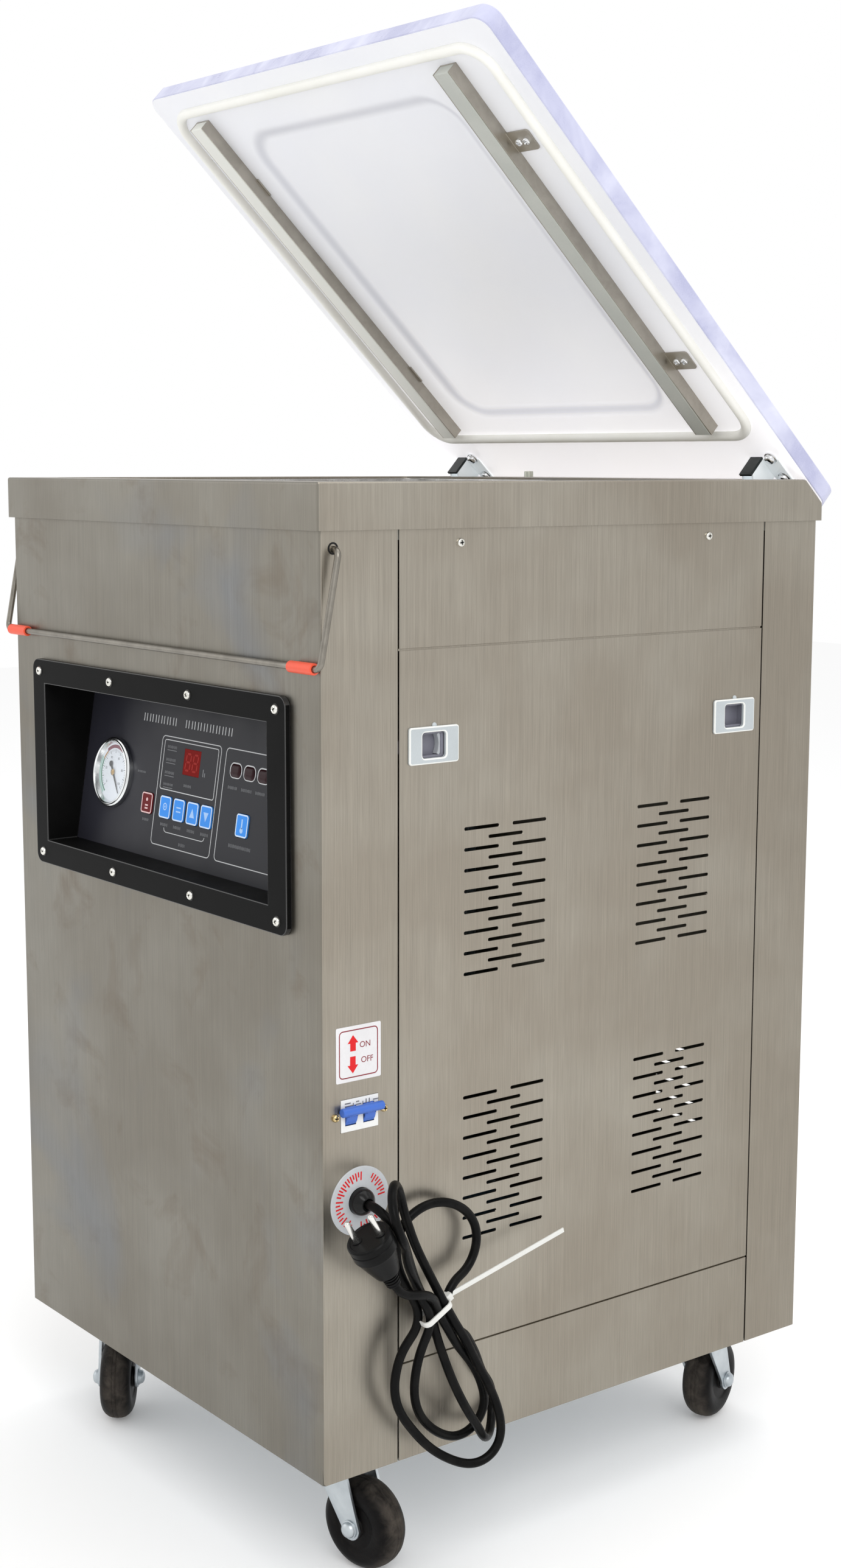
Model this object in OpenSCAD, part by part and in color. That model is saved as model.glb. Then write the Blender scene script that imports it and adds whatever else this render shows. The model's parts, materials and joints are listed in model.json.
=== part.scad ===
/* [Cabinet] */
// Width of the cabinet across its side faces
cab_w = 482; // [470:1:540]
// Depth of the cabinet from front face to back face
cab_d = 527; // [515:1:580]
// Height of the cabinet walls above the base
cab_h = 737; // [700:1:800]
// Thickness of the stainless sheet
sheet = 1.5; // [1.2:0.1:2]
// Depth of the front panel's side returns
front_return = 71; // [68:1:76]
// Depth of the rear panel's side returns
rear_return = 63; // [55:1:70]
// Open seam between neighbouring panels
seam = 1.6; // [0.8:0.2:2.4]
// Height of the seam above the kick panels
kick_z = 80; // [70:1:90]
// Height of the upper side panels, below the top of the walls
upper_h = 91; // [87:1:107]

/* [Tray] */
// Height of the tray that carries the chamber
tray_h = 35.5; // [33:0.5:38]
// Overhang of the tray past the cabinet walls
tray_over = 4; // [3:0.5:6]
// Thickness of the tray plate
tray_t = 2; // [1.5:0.1:2.5]

/* [Chamber] */
// Distance between the vacuum chamber and each side face of the cabinet
chamber_side = 26; // [25:0.5:40]
// Distance from the chamber to the cabinet back face
chamber_rear = 95; // [95:1:110]
// Inside height of the chamber below the tray plate
chamber_h = 74; // [65:1:80]
// Distance from the cabinet front face to the chamber mouth
chamber_y = 23; // [22:1:26]
// Corner radius of the chamber
chamber_r = 20; // [12:1:24]
// Thickness of each filler plate in the chamber
filler_t = 12; // [8:1:15]

/* [Lid] */
// Thickness of the lid slab
lid_t = 16; // [12:1:20]
// Corner radius of the lid
lid_r = 14; // [10:1:30]
// Angle at which the open lid rests on the tray's bevel
lid_angle = 43; // [38:0.5:46]
// Height of the gasket ring under the lid
gasket_t = 5.7; // [5:0.1:6]
// Width of the gasket ring
gasket_w = 9; // [8:0.5:9.5]
// Depth of the moulded hollow in the underside of the lid
hollow_d = 4; // [3:0.5:8]
// Distance of the hinge axis from the cabinet back face
hinge_back = 31; // [30:0.5:32]
// Height of the hinge axis above the cabinet walls
hinge_up = 16.5; // [16:0.5:17.5]
// Diameter of the hinge shaft
shaft_d = 10; // [8:0.5:11]

/* [Sealing] */
// Gap between each end of the seal bars and the chamber wall
bar_end = 4.5; // [3.5:0.5:14]
// Width of the pressure bars
bar_w = 20; // [17:0.5:22]
// Height of the pressure bars below the lid
bar_h = 11; // [9:0.5:12]
// Distance of the seal bars' middles from the chamber's side walls
bar_side = 35.5; // [33:0.5:45]
// Width of a seal bar
seal_w = 16; // [12:0.5:18]
// Height of a seal bar
seal_h = 28; // [22:1:32]
// Lift of the seal bars
seal_lift = 5.5; // [3:0.5:6]

/* [Control panel] */
// Width of the bezel
bezel_w = 404; // [396:1:416]
// Height of the bezel
bezel_h = 184; // [178:1:190]
// Border of the bezel above and below its opening
bezel_border = 21.5; // [18:0.5:24]
// Border of the bezel beside its opening
bezel_side = 23.5; // [20:0.5:26]
// How far the bezel stands proud of the front face
bezel_t = 5; // [3:0.5:6]
// Distance of the bezel centre below the top of the walls
bezel_drop = 216; // [202:1:237]
// Depth of the control plate behind the front face at its lower edge
plate_depth = 25; // [20:0.5:30]
// Tilt of the control plate
plate_tilt = 9; // [5:0.1:11]
// Diameter of the vacuum gauge
gauge_d = 62; // [50:1:64]
// Travel of the push buttons
button_travel = 0.8; // [0.4:0.1:1.2]

/* [Bail] */
// Diameter of the bail rod
bail_d = 5; // [4:0.5:6]
// Gap between the bail arms and the sides of the tray
bail_gap = 1; // [0.6:0.1:3]
// Drop of the front bar below the bail pivot
bail_drop = 87; // [78:0.5:90]
// Length of the sleeves on the front bar
sleeve_l = 32; // [20:1:50]
// Diameter of the sleeves
sleeve_d = 9; // [8:0.5:11]

/* [Side fittings] */
// Width of a vent slot
slot_l = 35; // [25:1:36]
// Height of a vent slot
slot_h = 2.8; // [1.5:0.1:4]
// Vertical pitch of the vent slots
slot_pitch = 16.6; // [15:0.1:18]
// Width of a slide latch
latch_w = 48; // [42:1:50]
// Height of a slide latch
latch_h = 29; // [25:1:32]
// Travel of the latch slider
latch_travel = 6; // [5:0.5:8]
// Diameter of the ring plate around the cord gland
ring_d = 55; // [45:1:60]

/* [Casters] */
// Diameter of a caster wheel
wheel_d = 75; // [70:1:80]
// Width of a caster wheel
wheel_w = 28; // [22:1:32]
// Height from the floor to the cabinet base
caster_h = 101; // [98:1:112]
// Distance of the swivel axis from the cabinet walls
caster_inset = 60.5; // [54:0.5:66]
// Trail of the wheel behind the swivel axis
caster_trail = 24.5; // [18:0.5:28]

/* [Hidden] */
eps = 0.01;
stainless = [0.62, 0.59, 0.54];
steel = [0.72, 0.74, 0.76];
zinc = [0.70, 0.74, 0.76];
black = [0.09, 0.09, 0.10];
blue = [0.20, 0.45, 0.80];
// Running clearance of shafts in their bores
run = 0.05;
// Clearance between pieces that pass each other
clear = 0.3;
// Joint line between pieces of one body that are stacked or screwed together
joint = 0.05;

// Places that several pieces share, in the frame of the cabinet: x from the
// left face, y from the front face, z from the base
wall_top = cab_h + 8;
tray_top = cab_h + tray_h;
tray_under = tray_top - tray_t;
tray_front = -tray_over;
tray_back = cab_d + tray_over;
lid_nose = 1.5;
lid_front = tray_front - lid_nose;
lid_back = tray_back + lid_nose;
lid_left = -tray_over + lid_nose;
lid_right = cab_w + tray_over - lid_nose;
lid_under = tray_top + gasket_t + clear;
hinge_y = cab_d - hinge_back;
hinge_z = cab_h + hinge_up;
lid_rise = lid_under - hinge_z;

// The tray's rear bevel lies this far below the open lid
bevel_gap = 2;
function bevel_y(z, gap) = hinge_y + (lid_rise - gap - (z - hinge_z) * cos(lid_angle)) / sin(lid_angle);
function bevel_z(y, gap) = hinge_z + (lid_rise - gap - (y - hinge_y) * sin(lid_angle)) / cos(lid_angle);

chamber_mid = cab_w / 2 - 1;
chamber_w = cab_w - 2 * chamber_side;
chamber_d = cab_d - chamber_y - chamber_rear;
chamber_left = chamber_mid - chamber_w / 2;
chamber_floor = tray_under - chamber_h;
bar_y = chamber_y + bar_end;
bar_l = chamber_d - 2 * bar_end;
bar_half = chamber_w / 2 - bar_side;
bar_mids = [chamber_mid - 5.5 - bar_half, chamber_mid - 5.5 + bar_half];
bar_low = lid_under - bar_h;
strip_proud = 0.5;
seal_top = bar_low - strip_proud - 0.5 - seal_lift;
seal_low = seal_top - seal_h;

// The gasket ring surrounds the chamber mouth
gasket_gap = 2.5;
gasket_in = [chamber_w + 2 * gasket_gap, chamber_d + 2 * gasket_gap];

// The hinge arms are alike and face the same way
arm_w = 14;
arm_xs = [24, cab_w - 46];
arm_front = -27;
bolt_dx = arm_w + 11;
bolt_ys = [hinge_y - 29.5, hinge_y - 5];
slot_y0 = hinge_y - 39;
slot_y1 = hinge_y + 20;

bail_out = tray_over + bail_gap + bail_d / 2;
bail_y = 12;
bail_z = cab_h - 13.5;
bail_bar_y = -(sleeve_d / 2 + 0.6);
bail_bar_z = bail_z - bail_drop;

bezel_x = cab_w / 2;
bezel_z = cab_h - bezel_drop;
mouth_w = bezel_w - 2 * bezel_side;
// The opening sits a little towards the left of the bezel
mouth_x = bezel_x - 2.5;
mouth_h = bezel_h - 2 * bezel_border;
mouth_low = bezel_z - mouth_h / 2;
sleeve_t = 2.5;
// The print and the keys on the control plate are laid out from this corner
layout_x = bezel_x - 241;
plate_t = 3;
key_v = 45.5;
gauge_u = 112;
gauge_v = 65;
gauge_proud = 6;

upper_z = cab_h - upper_h;
door_y0 = front_return + seam;
door_y1 = cab_d - rear_return - seam;
door_z0 = kick_z + seam;
latch_inset = 32.3;
latch_z = upper_z - 73.5;
latch_ys = [door_y0 + latch_inset, door_y1 - latch_inset];
latch_proud = 2.2;
latch_depth = 12;
pocket_w = 23;
pocket_h = 20;

breaker_y = 34.5;
breaker_z = 293.8;
breaker_w = 35;
breaker_nose = 25.5;
toggle_rest = 22;
gland_y = 34.6;
gland_z = 224;
gland_d = 21.5;
gland_l = 12;
thread_d = 12.5;

axle_z = wheel_d / 2 - caster_h;
axle_d = 8;
caster_places = [[caster_inset, caster_inset], [cab_w - caster_inset, caster_inset],
    [caster_inset, cab_d - caster_inset], [cab_w - caster_inset, cab_d - caster_inset]];
caster_turns = [-38, 12, 205, 111];

// The origin is on the floor under the middle of the object with its lid open
y_lowest = bail_bar_y - sleeve_d / 2;
y_highest = hinge_y + (lid_back - hinge_y) * cos(lid_angle) + (lid_rise + lid_t) * sin(lid_angle);
mid_y = (y_lowest + y_highest) / 2;

module place() translate([-cab_w / 2, -mid_y, caster_h]) children();
module opened() translate([0, hinge_y, hinge_z]) rotate([-lid_angle, 0, 0]) translate([0, -hinge_y, -hinge_z])
    children();
// A plate drawn in y and z that stands from x = 0 to x = t
module upright(t) rotate([90, 0, 90]) linear_extrude(t) children();
module along_x(x, y, z, d, l) translate([x, y, z]) rotate([0, 90, 0]) cylinder(d = d, h = l, $fn = 48);
module along_y(x, y, z, d, l) translate([x, y, z]) rotate([-90, 0, 0]) cylinder(d = d, h = l, $fn = 48);
module round_square(w, h, r) {
    translate([r, 0]) square([w - 2 * r, h]);
    translate([0, r]) square([w, h - 2 * r]);
    for (x = [r, w - r], y = [r, h - r]) translate([x, y]) circle(r, $fn = 48);
}
module round_ring(w, h, r, t) difference() {
    translate([-t, -t]) round_square(w + 2 * t, h + 2 * t, r + t);
    round_square(w, h, r);
}

// Vent slots of one side panel, drawn in y and z
module vent_slots() {
    for (y = [door_y0 + 63.4, door_y1 - 142.4], z = [upper_z - 142.3, upper_z - 359], column = [0, 1, 2])
        for (row = [0 : column == 1 ? 6 : 7])
            translate([y + column * 24.5, z - row * slot_pitch - (column == 1 ? slot_pitch / 2 : 0) - slot_h / 2])
                square([slot_l, slot_h]);
}
module panel_sheet(y0, y1, z0, z1) translate([y0, z0]) square([y1 - y0, z1 - z0]);

module chassis() color(zinc) place() {
    post = 14;
    leg = 2;
    difference() {
        union() {
            translate([sheet, sheet, 0]) cube([cab_w - 2 * sheet, cab_d - 2 * sheet, leg]);
            translate([0, 0, leg - eps]) linear_extrude(wall_top - leg + eps)
                for (mx = [0, 1], my = [0, 1])
                    translate([mx * cab_w, my * cab_d]) mirror([mx, 0]) mirror([0, my]) translate([sheet, sheet]) {
                        square([post, leg]);
                        square([leg, post]);
                    }
            for (x = [sheet, cab_w - sheet - leg])
                translate([x, sheet + leg, cab_h - 8]) cube([leg, hinge_y - 8, tray_under - cab_h + 8]);
        }
        for (x = [0, cab_w - 10]) along_x(x, bail_y, bail_z, bail_d + 2 * run, 10);
        for (p = caster_places) translate([p[0], p[1], -1]) cylinder(d = 13, h = 4, $fn = 48);
    }
}

module front_panel() color(stainless) place() difference() {
    linear_extrude(wall_top) {
        square([cab_w, sheet]);
        square([sheet, front_return]);
        translate([cab_w - sheet, 0]) square([sheet, front_return]);
    }
    translate([mouth_x - mouth_w / 2 - sleeve_t - 0.2, -1, mouth_low - sleeve_t - 0.2])
        cube([mouth_w + 2 * sleeve_t + 0.4, sheet + 2, mouth_h + 2 * sleeve_t + 0.4]);
    translate([cab_w - sheet - 1, breaker_y - breaker_w / 2 - clear, breaker_z - breaker_nose / 2 - clear])
        cube([sheet + 2, breaker_w + 2 * clear, breaker_nose + 2 * clear]);
    along_x(cab_w - sheet - 1, gland_y, gland_z, thread_d + 2 * clear, sheet + 2);
    for (x = [-1, cab_w - sheet - 1]) along_x(x, bail_y, bail_z, bail_d + 2 * run, sheet + 2);
}

module rear_panel() color(stainless) place() difference() {
    translate([0, cab_d - rear_return, 0]) linear_extrude(wall_top) {
        translate([0, rear_return - sheet]) square([cab_w, sheet]);
        square([sheet, rear_return]);
        translate([cab_w - sheet, 0]) square([sheet, rear_return]);
    }
    for (x = [-85, 85], row = [0 : 7])
        translate([cab_w / 2 + x - 30, cab_d - sheet - 1, 160 + row * slot_pitch]) cube([60, sheet + 2, slot_h]);
}

module fixed_side_panels() color(stainless) place()
    for (x = [0, cab_w - sheet]) translate([x, 0, 0]) upright(sheet) {
        panel_sheet(door_y0, door_y1, 0, kick_z);
        panel_sheet(door_y0, door_y1, upper_z + seam, wall_top);
    }

// A door's lips reach behind the panels above and below it
lip = 8;
module door_lips() for (z = [door_z0 - lip, upper_z - lip]) panel_sheet(door_y0, door_y1, z, z + 2 * lip);

module side_door_right() color(stainless) place() {
    translate([cab_w - sheet, 0, 0]) upright(sheet) difference() {
        panel_sheet(door_y0, door_y1, door_z0, upper_z);
        vent_slots();
        for (y = latch_ys)
            translate([y - latch_w / 2 + 4 - clear, latch_z - latch_h / 2 + 3 - clear])
                square([latch_w - 8 + 2 * clear, latch_h - 6 + 2 * clear]);
    }
    translate([cab_w - 2 * sheet, 0, 0]) upright(sheet) door_lips();
}

module side_door_left() color(stainless) place() {
    upright(sheet) difference() {
        panel_sheet(door_y0, door_y1, door_z0, upper_z);
        vent_slots();
    }
    translate([sheet, 0, 0]) upright(sheet) door_lips();
}

module tray_profile(t, gap) polygon([
    [tray_front + t, cab_h - (t > 0 ? 1 : 0)], [tray_front + t, tray_top - t], [bevel_y(tray_top - t, gap), tray_top - t],
    [tray_back - t, bevel_z(tray_back - t, gap)], [tray_back - t, cab_h - (t > 0 ? 1 : 0)]]);

module top_tray() color(stainless) place() difference() {
    translate([-tray_over, 0, 0]) upright(cab_w + 2 * tray_over) tray_profile(0, bevel_gap);
    translate([-tray_over + tray_t, 0, 0]) upright(cab_w + 2 * tray_over - 2 * tray_t)
        tray_profile(tray_t, bevel_gap + tray_t);
    translate([chamber_left, chamber_y, tray_under - 1]) linear_extrude(tray_t + 2)
        round_square(chamber_w, chamber_d, chamber_r);
    for (x = arm_xs) translate([x - 3, slot_y0, tray_under - 10]) cube([arm_w + 22, slot_y1 - slot_y0, tray_t + 12]);
    translate([switch_x, switch_y, tray_under - 1]) cylinder(d = switch_d + 2 * clear, h = tray_t + 2, $fn = 48);
}

module chamber_tub() color(steel) place() translate([chamber_left, chamber_y, 0]) difference() {
    union() {
        translate([0, 0, chamber_floor - 2]) linear_extrude(chamber_h + 2) translate([-2, -2])
            round_square(chamber_w + 4, chamber_d + 4, chamber_r + 2);
        translate([0, 0, tray_under - 2]) linear_extrude(2) translate([-7, -7])
            round_square(chamber_w + 14 - clear, chamber_d + 14, chamber_r + 7);
    }
    translate([0, 0, chamber_floor]) linear_extrude(chamber_h + 1) round_square(chamber_w, chamber_d, chamber_r);
    translate([chamber_w / 2, chamber_d / 2, chamber_floor - 3]) cylinder(d = 30, h = 5, $fn = 48);
}

module filler_plates() color("white") place() {
    left = bar_mids[0] + seal_w / 2 + 12;
    width = bar_mids[1] - seal_w / 2 - 12 - left;
    for (level = [0, 1]) translate([left, chamber_y + 6, chamber_floor + level * filler_t]) linear_extrude(filler_t - joint)
        difference() {
            round_square(width, chamber_d - 12, 8);
            for (x = [28, width - 28]) translate([x, chamber_d / 2]) circle(13, $fn = 48);
        }
}

// The seal bars stand on two lift cylinders each
cylinder_ys = [bar_y + 60, bar_y + bar_l - 60];
cylinder_h = 20;
module lift_cylinders() color(black) place()
    for (x = bar_mids, y = cylinder_ys) translate([x, y, chamber_floor]) difference() {
        cylinder(d = 24, h = cylinder_h, $fn = 48);
        translate([0, 0, 6]) cylinder(d = 8 + 2 * run, h = cylinder_h, $fn = 48);
    }

module seal_bar(x) place() {
    color([0.45, 0.28, 0.16]) translate([x - seal_w / 2, bar_y, seal_low]) cube([seal_w, bar_l, seal_h - 1 - joint]);
    color([0.80, 0.76, 0.62]) translate([x - seal_w / 2, bar_y + 4, seal_top - 1]) cube([seal_w, bar_l - 8, 0.6]);
    color(steel) translate([x - 2.5, bar_y + 8, seal_top - 0.4]) cube([5, bar_l - 16, 0.4]);
    color(steel) for (y = cylinder_ys)
        translate([x, y, chamber_floor + 7]) cylinder(d = 8, h = seal_low - joint - chamber_floor - 7, $fn = 48);
}
module seal_bar_left() seal_bar(bar_mids[0]);
module seal_bar_right() seal_bar(bar_mids[1]);

// The hollow lies between the bars, this far from the left and front walls of the chamber
hollow_from = [63, 23];
hollow_size = [chamber_w - 128, chamber_d - 41];
module lid() color([0.90, 0.91, 0.96]) place() opened() difference() {
    translate([lid_left, lid_front, lid_under]) linear_extrude(lid_t)
        round_square(lid_right - lid_left, lid_back - lid_front, lid_r);
    translate([chamber_left + hollow_from[0], chamber_y + hollow_from[1], lid_under - 1]) {
        linear_extrude(1 + hollow_d / 2) round_square(hollow_size[0], hollow_size[1], 34);
        translate([12, 12, 0]) linear_extrude(1 + hollow_d)
            round_square(hollow_size[0] - 24, hollow_size[1] - 24, 30);
    }
    for (x = arm_xs, y = bolt_ys)
        translate([x + bolt_dx, y, lid_under - 1]) cylinder(d = 5 + 2 * run, h = lid_t + 2, $fn = 48);
    for (y = tab_ys, dx = screw_dxs)
        translate([bar_mids[1] + bar_w / 2 + dx, y + tab_l / 2, lid_under - 1]) cylinder(d = 3 + 2 * run, h = 9, $fn = 48);
}

module lid_gasket() color([0.95, 0.93, 0.82]) place() opened()
    translate([chamber_left - gasket_gap, chamber_y - gasket_gap, lid_under - gasket_t]) linear_extrude(gasket_t)
        round_ring(gasket_in[0], gasket_in[1], chamber_r, gasket_w);

channel_t = 1.2;
// The right bar's tabs carry two screws each; the left bar's only just show beside it
tab_ws = [2.5, 25.5];
tab_l = 19.5;
tab_ys = [bar_y + 70, bar_y + bar_l - 89];
screw_dxs = [8.5, 17.5];
module pressure_bars() color(steel) place() opened()
    for (i = [0, 1]) translate([bar_mids[i] - bar_w / 2, 0, 0]) {
        translate([0, bar_y, 0]) difference() {
            translate([0, 0, bar_low]) cube([bar_w, bar_l, bar_h]);
            translate([channel_t, -1, bar_low - 1]) cube([bar_w - 2 * channel_t, bar_l + 2, bar_h + 1 - channel_t]);
        }
        for (y = tab_ys) difference() {
            translate([bar_w, y, lid_under - 1.5]) cube([tab_ws[i], tab_l, 1.5]);
            for (dx = screw_dxs)
                translate([bar_w + dx, y + tab_l / 2, lid_under - 3]) cylinder(d = 3 + 2 * run, h = 5, $fn = 48);
        }
    }

module pressure_strips() color([0.62, 0.66, 0.60]) place() opened()
    for (x = bar_mids)
        translate([x - bar_w / 2 + channel_t, bar_y, bar_low - strip_proud])
            cube([bar_w - 2 * channel_t, bar_l, bar_h - channel_t + strip_proud]);

module lid_fasteners() color(steel) place() opened() {
    for (y = tab_ys, dx = screw_dxs)
        translate([bar_mids[1] + bar_w / 2 + dx, y + tab_l / 2, lid_under - 1.5]) {
            translate([0, 0, -2.4]) cylinder(d = 7, h = 2.4, $fn = 48);
            cylinder(d = 3, h = 8, $fn = 48);
        }
    for (x = arm_xs, y = bolt_ys) translate([x + bolt_dx, y, lid_under]) {
        translate([0, 0, -6.5]) cylinder(d = 10, h = 5, $fn = 48);
        translate([0, 0, -4]) cylinder(d = 5, h = lid_t + 4, $fn = 48);
        translate([0, 0, lid_t]) cylinder(d = 10, h = 3, $fn = 48);
    }
}

module hinge_arms() color(zinc) place() opened() for (x = arm_xs) translate([x, hinge_y, hinge_z]) {
    difference() {
        union() {
            for (dx = [0, arm_w - 2]) translate([dx, 0, 0]) upright(2) {
                polygon([[arm_front, 6], [arm_front, lid_rise], [-6, lid_rise], [-3, 8], [8, 3], [8, -4], [-8, -6]]);
                circle(9, $fn = 48);
            }
            translate([0, arm_front, 6]) cube([arm_w, 2, lid_rise - 6]);
            translate([arm_w - eps, arm_front, lid_rise - 1.5]) cube([18, 32, 1.5]);
        }
        along_x(-1, 0, 0, shaft_d + 2 * run, arm_w + 2);
        for (y = bolt_ys) translate([bolt_dx, y - hinge_y, lid_rise - 3]) cylinder(d = 5 + 2 * run, h = 5, $fn = 48);
    }
    color(black) translate([0, arm_front - 2.5, 4]) cube([arm_w, 2.5 - joint, lid_rise - 4]);
}

bracket_xs = [for (x = arm_xs, dx = [-9.5, arm_w + 22]) x + dx];
module hinge_shaft() color(steel) place()
    along_x(bracket_xs[0] - 4, hinge_y, hinge_z, shaft_d, bracket_xs[3] - bracket_xs[0] + 10);

module hinge_brackets() color(zinc) place() for (x = bracket_xs) translate([x, hinge_y, hinge_z]) difference() {
    upright(4) polygon([[-16, -11], [-16, tray_under - hinge_z], [11, tray_under - hinge_z], [11, -11]]);
    along_x(-1, 0, 0, shaft_d + 2 * run, 6);
}

// A wire swept along a path of points; the ring's sides stay square to the path
function unit(v) = v / norm(v);
function tangent(path, i) = unit(path[min(i + 1, len(path) - 1)] - path[max(i - 1, 0)]);
function carry(side, t) = unit(side - (side * t) * t);
function sides_along(path, i, side) =
    i == len(path) ? [] : let (s = carry(side, tangent(path, i))) concat([s], sides_along(path, i + 1, s));
module sweep(path, d, n, side) {
    sides = sides_along(path, 0, side);
    points = [for (i = [0 : len(path) - 1], k = [0 : n - 1])
        let (t = tangent(path, i), s = sides[i], u = cross(t, s), a = 360 * k / n)
        path[i] + d / 2 * (cos(a) * s + sin(a) * u)];
    last = (len(path) - 1) * n;
    polyhedron(points, concat(
        [[for (k = [0 : n - 1]) k]],
        [for (i = [0 : len(path) - 2], k = [0 : n - 1])
            [i * n + k, (i + 1) * n + k, (i + 1) * n + (k + 1) % n, i * n + (k + 1) % n]],
        [[for (k = [0 : n - 1]) last + n - 1 - k]]));
}

spring_turns = 7;
spring_wire = 2.4;
spring_steps = 12;
module lid_springs() color(steel) place() for (x = [bracket_xs[1] + 4 + clear, bracket_xs[2] - clear - spring_l])
    translate([x, hinge_y, hinge_z])
        sweep([for (i = [0 : spring_turns * spring_steps]) let (a = 360 * i / spring_steps)
            [spring_wire / 2 + (spring_l - spring_wire) * i / (spring_turns * spring_steps),
                (shaft_d / 2 + 0.6 + spring_wire / 2) * cos(a), (shaft_d / 2 + 0.6 + spring_wire / 2) * sin(a)]],
            spring_wire, 6, [0, 1, 0]);
spring_l = spring_turns * (spring_wire + 0.4);

switch_x = 138;
switch_y = hinge_y - 6;
switch_d = 9;
switch_travel = 3;
module lid_switch_pin() color([0.55, 0.58, 0.50]) place() translate([switch_x, switch_y, 0]) {
    translate([0, 0, tray_under - 8]) cylinder(d = switch_d, h = lid_under - clear - tray_under + 8, $fn = 48);
    translate([0, 0, tray_under - 3 - clear]) cylinder(d = switch_d + 4, h = 3, $fn = 48);
}

// Half of the bail, from its pivot in the side wall to the middle of the front bar
module bail_half() {
    arm = bail_out;
    lean = atan2(bail_y - bail_bar_y, bail_drop);
    reach = norm([bail_y - bail_bar_y, bail_drop]);
    bend = 6;
    translate([0, bail_y, bail_z]) rotate([-lean, 0, 0]) {
        along_x(-arm + bend, 0, 0, bail_d, arm - bend + sheet + 6);
        translate([-arm + bend, 0, -bend]) rotate([90, 0, 0]) rotate([0, 0, 90]) rotate_extrude(angle = 90, $fn = 48)
            translate([bend, 0]) circle(d = bail_d, $fn = 24);
        translate([-arm, 0, -reach + bend]) cylinder(d = bail_d, h = reach - 2 * bend, $fn = 48);
        translate([-arm + bend, 0, -reach + bend]) rotate([90, 0, 0]) rotate([0, 0, 180])
            rotate_extrude(angle = 90, $fn = 48) translate([bend, 0]) circle(d = bail_d, $fn = 24);
        along_x(-arm + bend, 0, -reach, bail_d, cab_w / 2 + arm - bend + eps);
    }
}
module bail() color(steel) place() {
    bail_half();
    translate([cab_w, 0, 0]) mirror([1, 0, 0]) bail_half();
}
module bail_sleeves() color([0.88, 0.27, 0.18]) place()
    for (x = [-bail_out + 7, cab_w + bail_out - 7 - sleeve_l]) translate([x, bail_bar_y, bail_bar_z]) difference() {
        along_x(0, 0, 0, sleeve_d, sleeve_l);
        along_x(-1, 0, 0, bail_d + 2 * run, sleeve_l + 2);
    }

// The control plate's own frame: x across, y up the plate, z out towards the user
module on_plate() translate([layout_x, plate_depth, mouth_low]) rotate([90 - plate_tilt, 0, 0]) children();
plate_v = mouth_h / cos(plate_tilt);

module bezel() color(black) place() difference() {
    union() {
        translate([bezel_x - bezel_w / 2, 0, bezel_z - bezel_h / 2]) rotate([90, 0, 0]) linear_extrude(bezel_t)
            round_square(bezel_w, bezel_h, 9);
        translate([mouth_x - mouth_w / 2 - sleeve_t, -eps, mouth_low - sleeve_t])
            cube([mouth_w + 2 * sleeve_t, 80, mouth_h + 2 * sleeve_t]);
    }
    translate([mouth_x - mouth_w / 2, -20, mouth_low]) cube([mouth_w, 120, mouth_h]);
    on_plate() translate([0, -100, -120]) cube([cab_w + 40, 400, 120]);
    for (p = bezel_screw_places) along_y(p[0], -10, p[1], 3 + 2 * run, 12);
}

screw_edge = [13, 10.5];
bezel_screw_places = [for (k = [-3, -1, 1, 3] / 3, side = [-1, 1])
    [bezel_x + k * (bezel_w / 2 - screw_edge[0]), bezel_z + side * (bezel_h / 2 - screw_edge[1])]];
upper_screw_places = [[door_y0 + 58.4, upper_z + 80], [door_y1 - 66.4, upper_z + 80]];
brass_screw_ys = [breaker_y - breaker_w / 2 - 5.2, breaker_y + breaker_w / 2 + 5.5];
module panel_screws() color(steel) place() {
    for (p = bezel_screw_places) {
        along_y(p[0], -bezel_t - 2.4, p[1], 7.5, 2.4);
        along_y(p[0], -bezel_t - 1, p[1], 3, bezel_t + 1);
    }
    for (p = upper_screw_places) {
        along_x(cab_w, p[0], p[1], 7, 2.2);
        along_x(-2.2, p[0], p[1], 7, 2.2);
    }
    for (y = brass_screw_ys) along_x(cab_w, y, breaker_z, 6, 2.6);
}

module control_plate() color([0.16, 0.17, 0.20]) place() on_plate() difference() {
    translate([mouth_x - layout_x - mouth_w / 2 - 6, -6, -plate_t]) cube([mouth_w + 12, plate_v + 12, plate_t]);
    translate([gauge_u, gauge_v, -5]) cylinder(d = gauge_d - 6 + 2 * clear, h = 10, $fn = 64);
    for (k = keys) translate([k[0] - key_w / 2 - clear, key_v - k[1] / 2 - clear, -5])
        linear_extrude(10) round_square(key_w + 2 * clear, k[1] + 2 * clear, 3);
    translate([window_u, window_v, -5]) cube([window_w, window_h, 10]);
    for (u = lamp_us) translate([u, lamp_v, -5]) lamp(10);
}
key_w = 17.5;
key_proud = 1;
lamp_us = [305.5, 326, 346.5];
lamp_v = 88.4;
lamp_size = [16.4, 11.4];
module lamp(h) translate(-lamp_size / 2) linear_extrude(h) round_square(lamp_size[0], lamp_size[1], 4.6);
// Middle and height of each key, from the stop key to the heat key
keys = [[174, 18], [204.5, 19], [226.5, 19], [248.5, 19], [270, 19], [325, 19]];

module gauge_case() color([0.85, 0.86, 0.88]) place() on_plate() translate([gauge_u, gauge_v, 0]) {
    difference() {
        union() {
            cylinder(d = gauge_d, h = gauge_proud, $fn = 64);
            translate([0, 0, -20]) cylinder(d = gauge_d - 6, h = 20 + eps, $fn = 64);
        }
        translate([0, 0, gauge_proud - 5]) cylinder(d = gauge_d - 5, h = 6, $fn = 64);
        translate([0, 0, -2]) cylinder(d = 2 + 2 * run, h = 8, $fn = 24);
    }
    translate([0, 0, gauge_proud - 1.5]) cylinder(d = gauge_d - 5 - 2 * joint, h = 1, $fn = 64);
}

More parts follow.
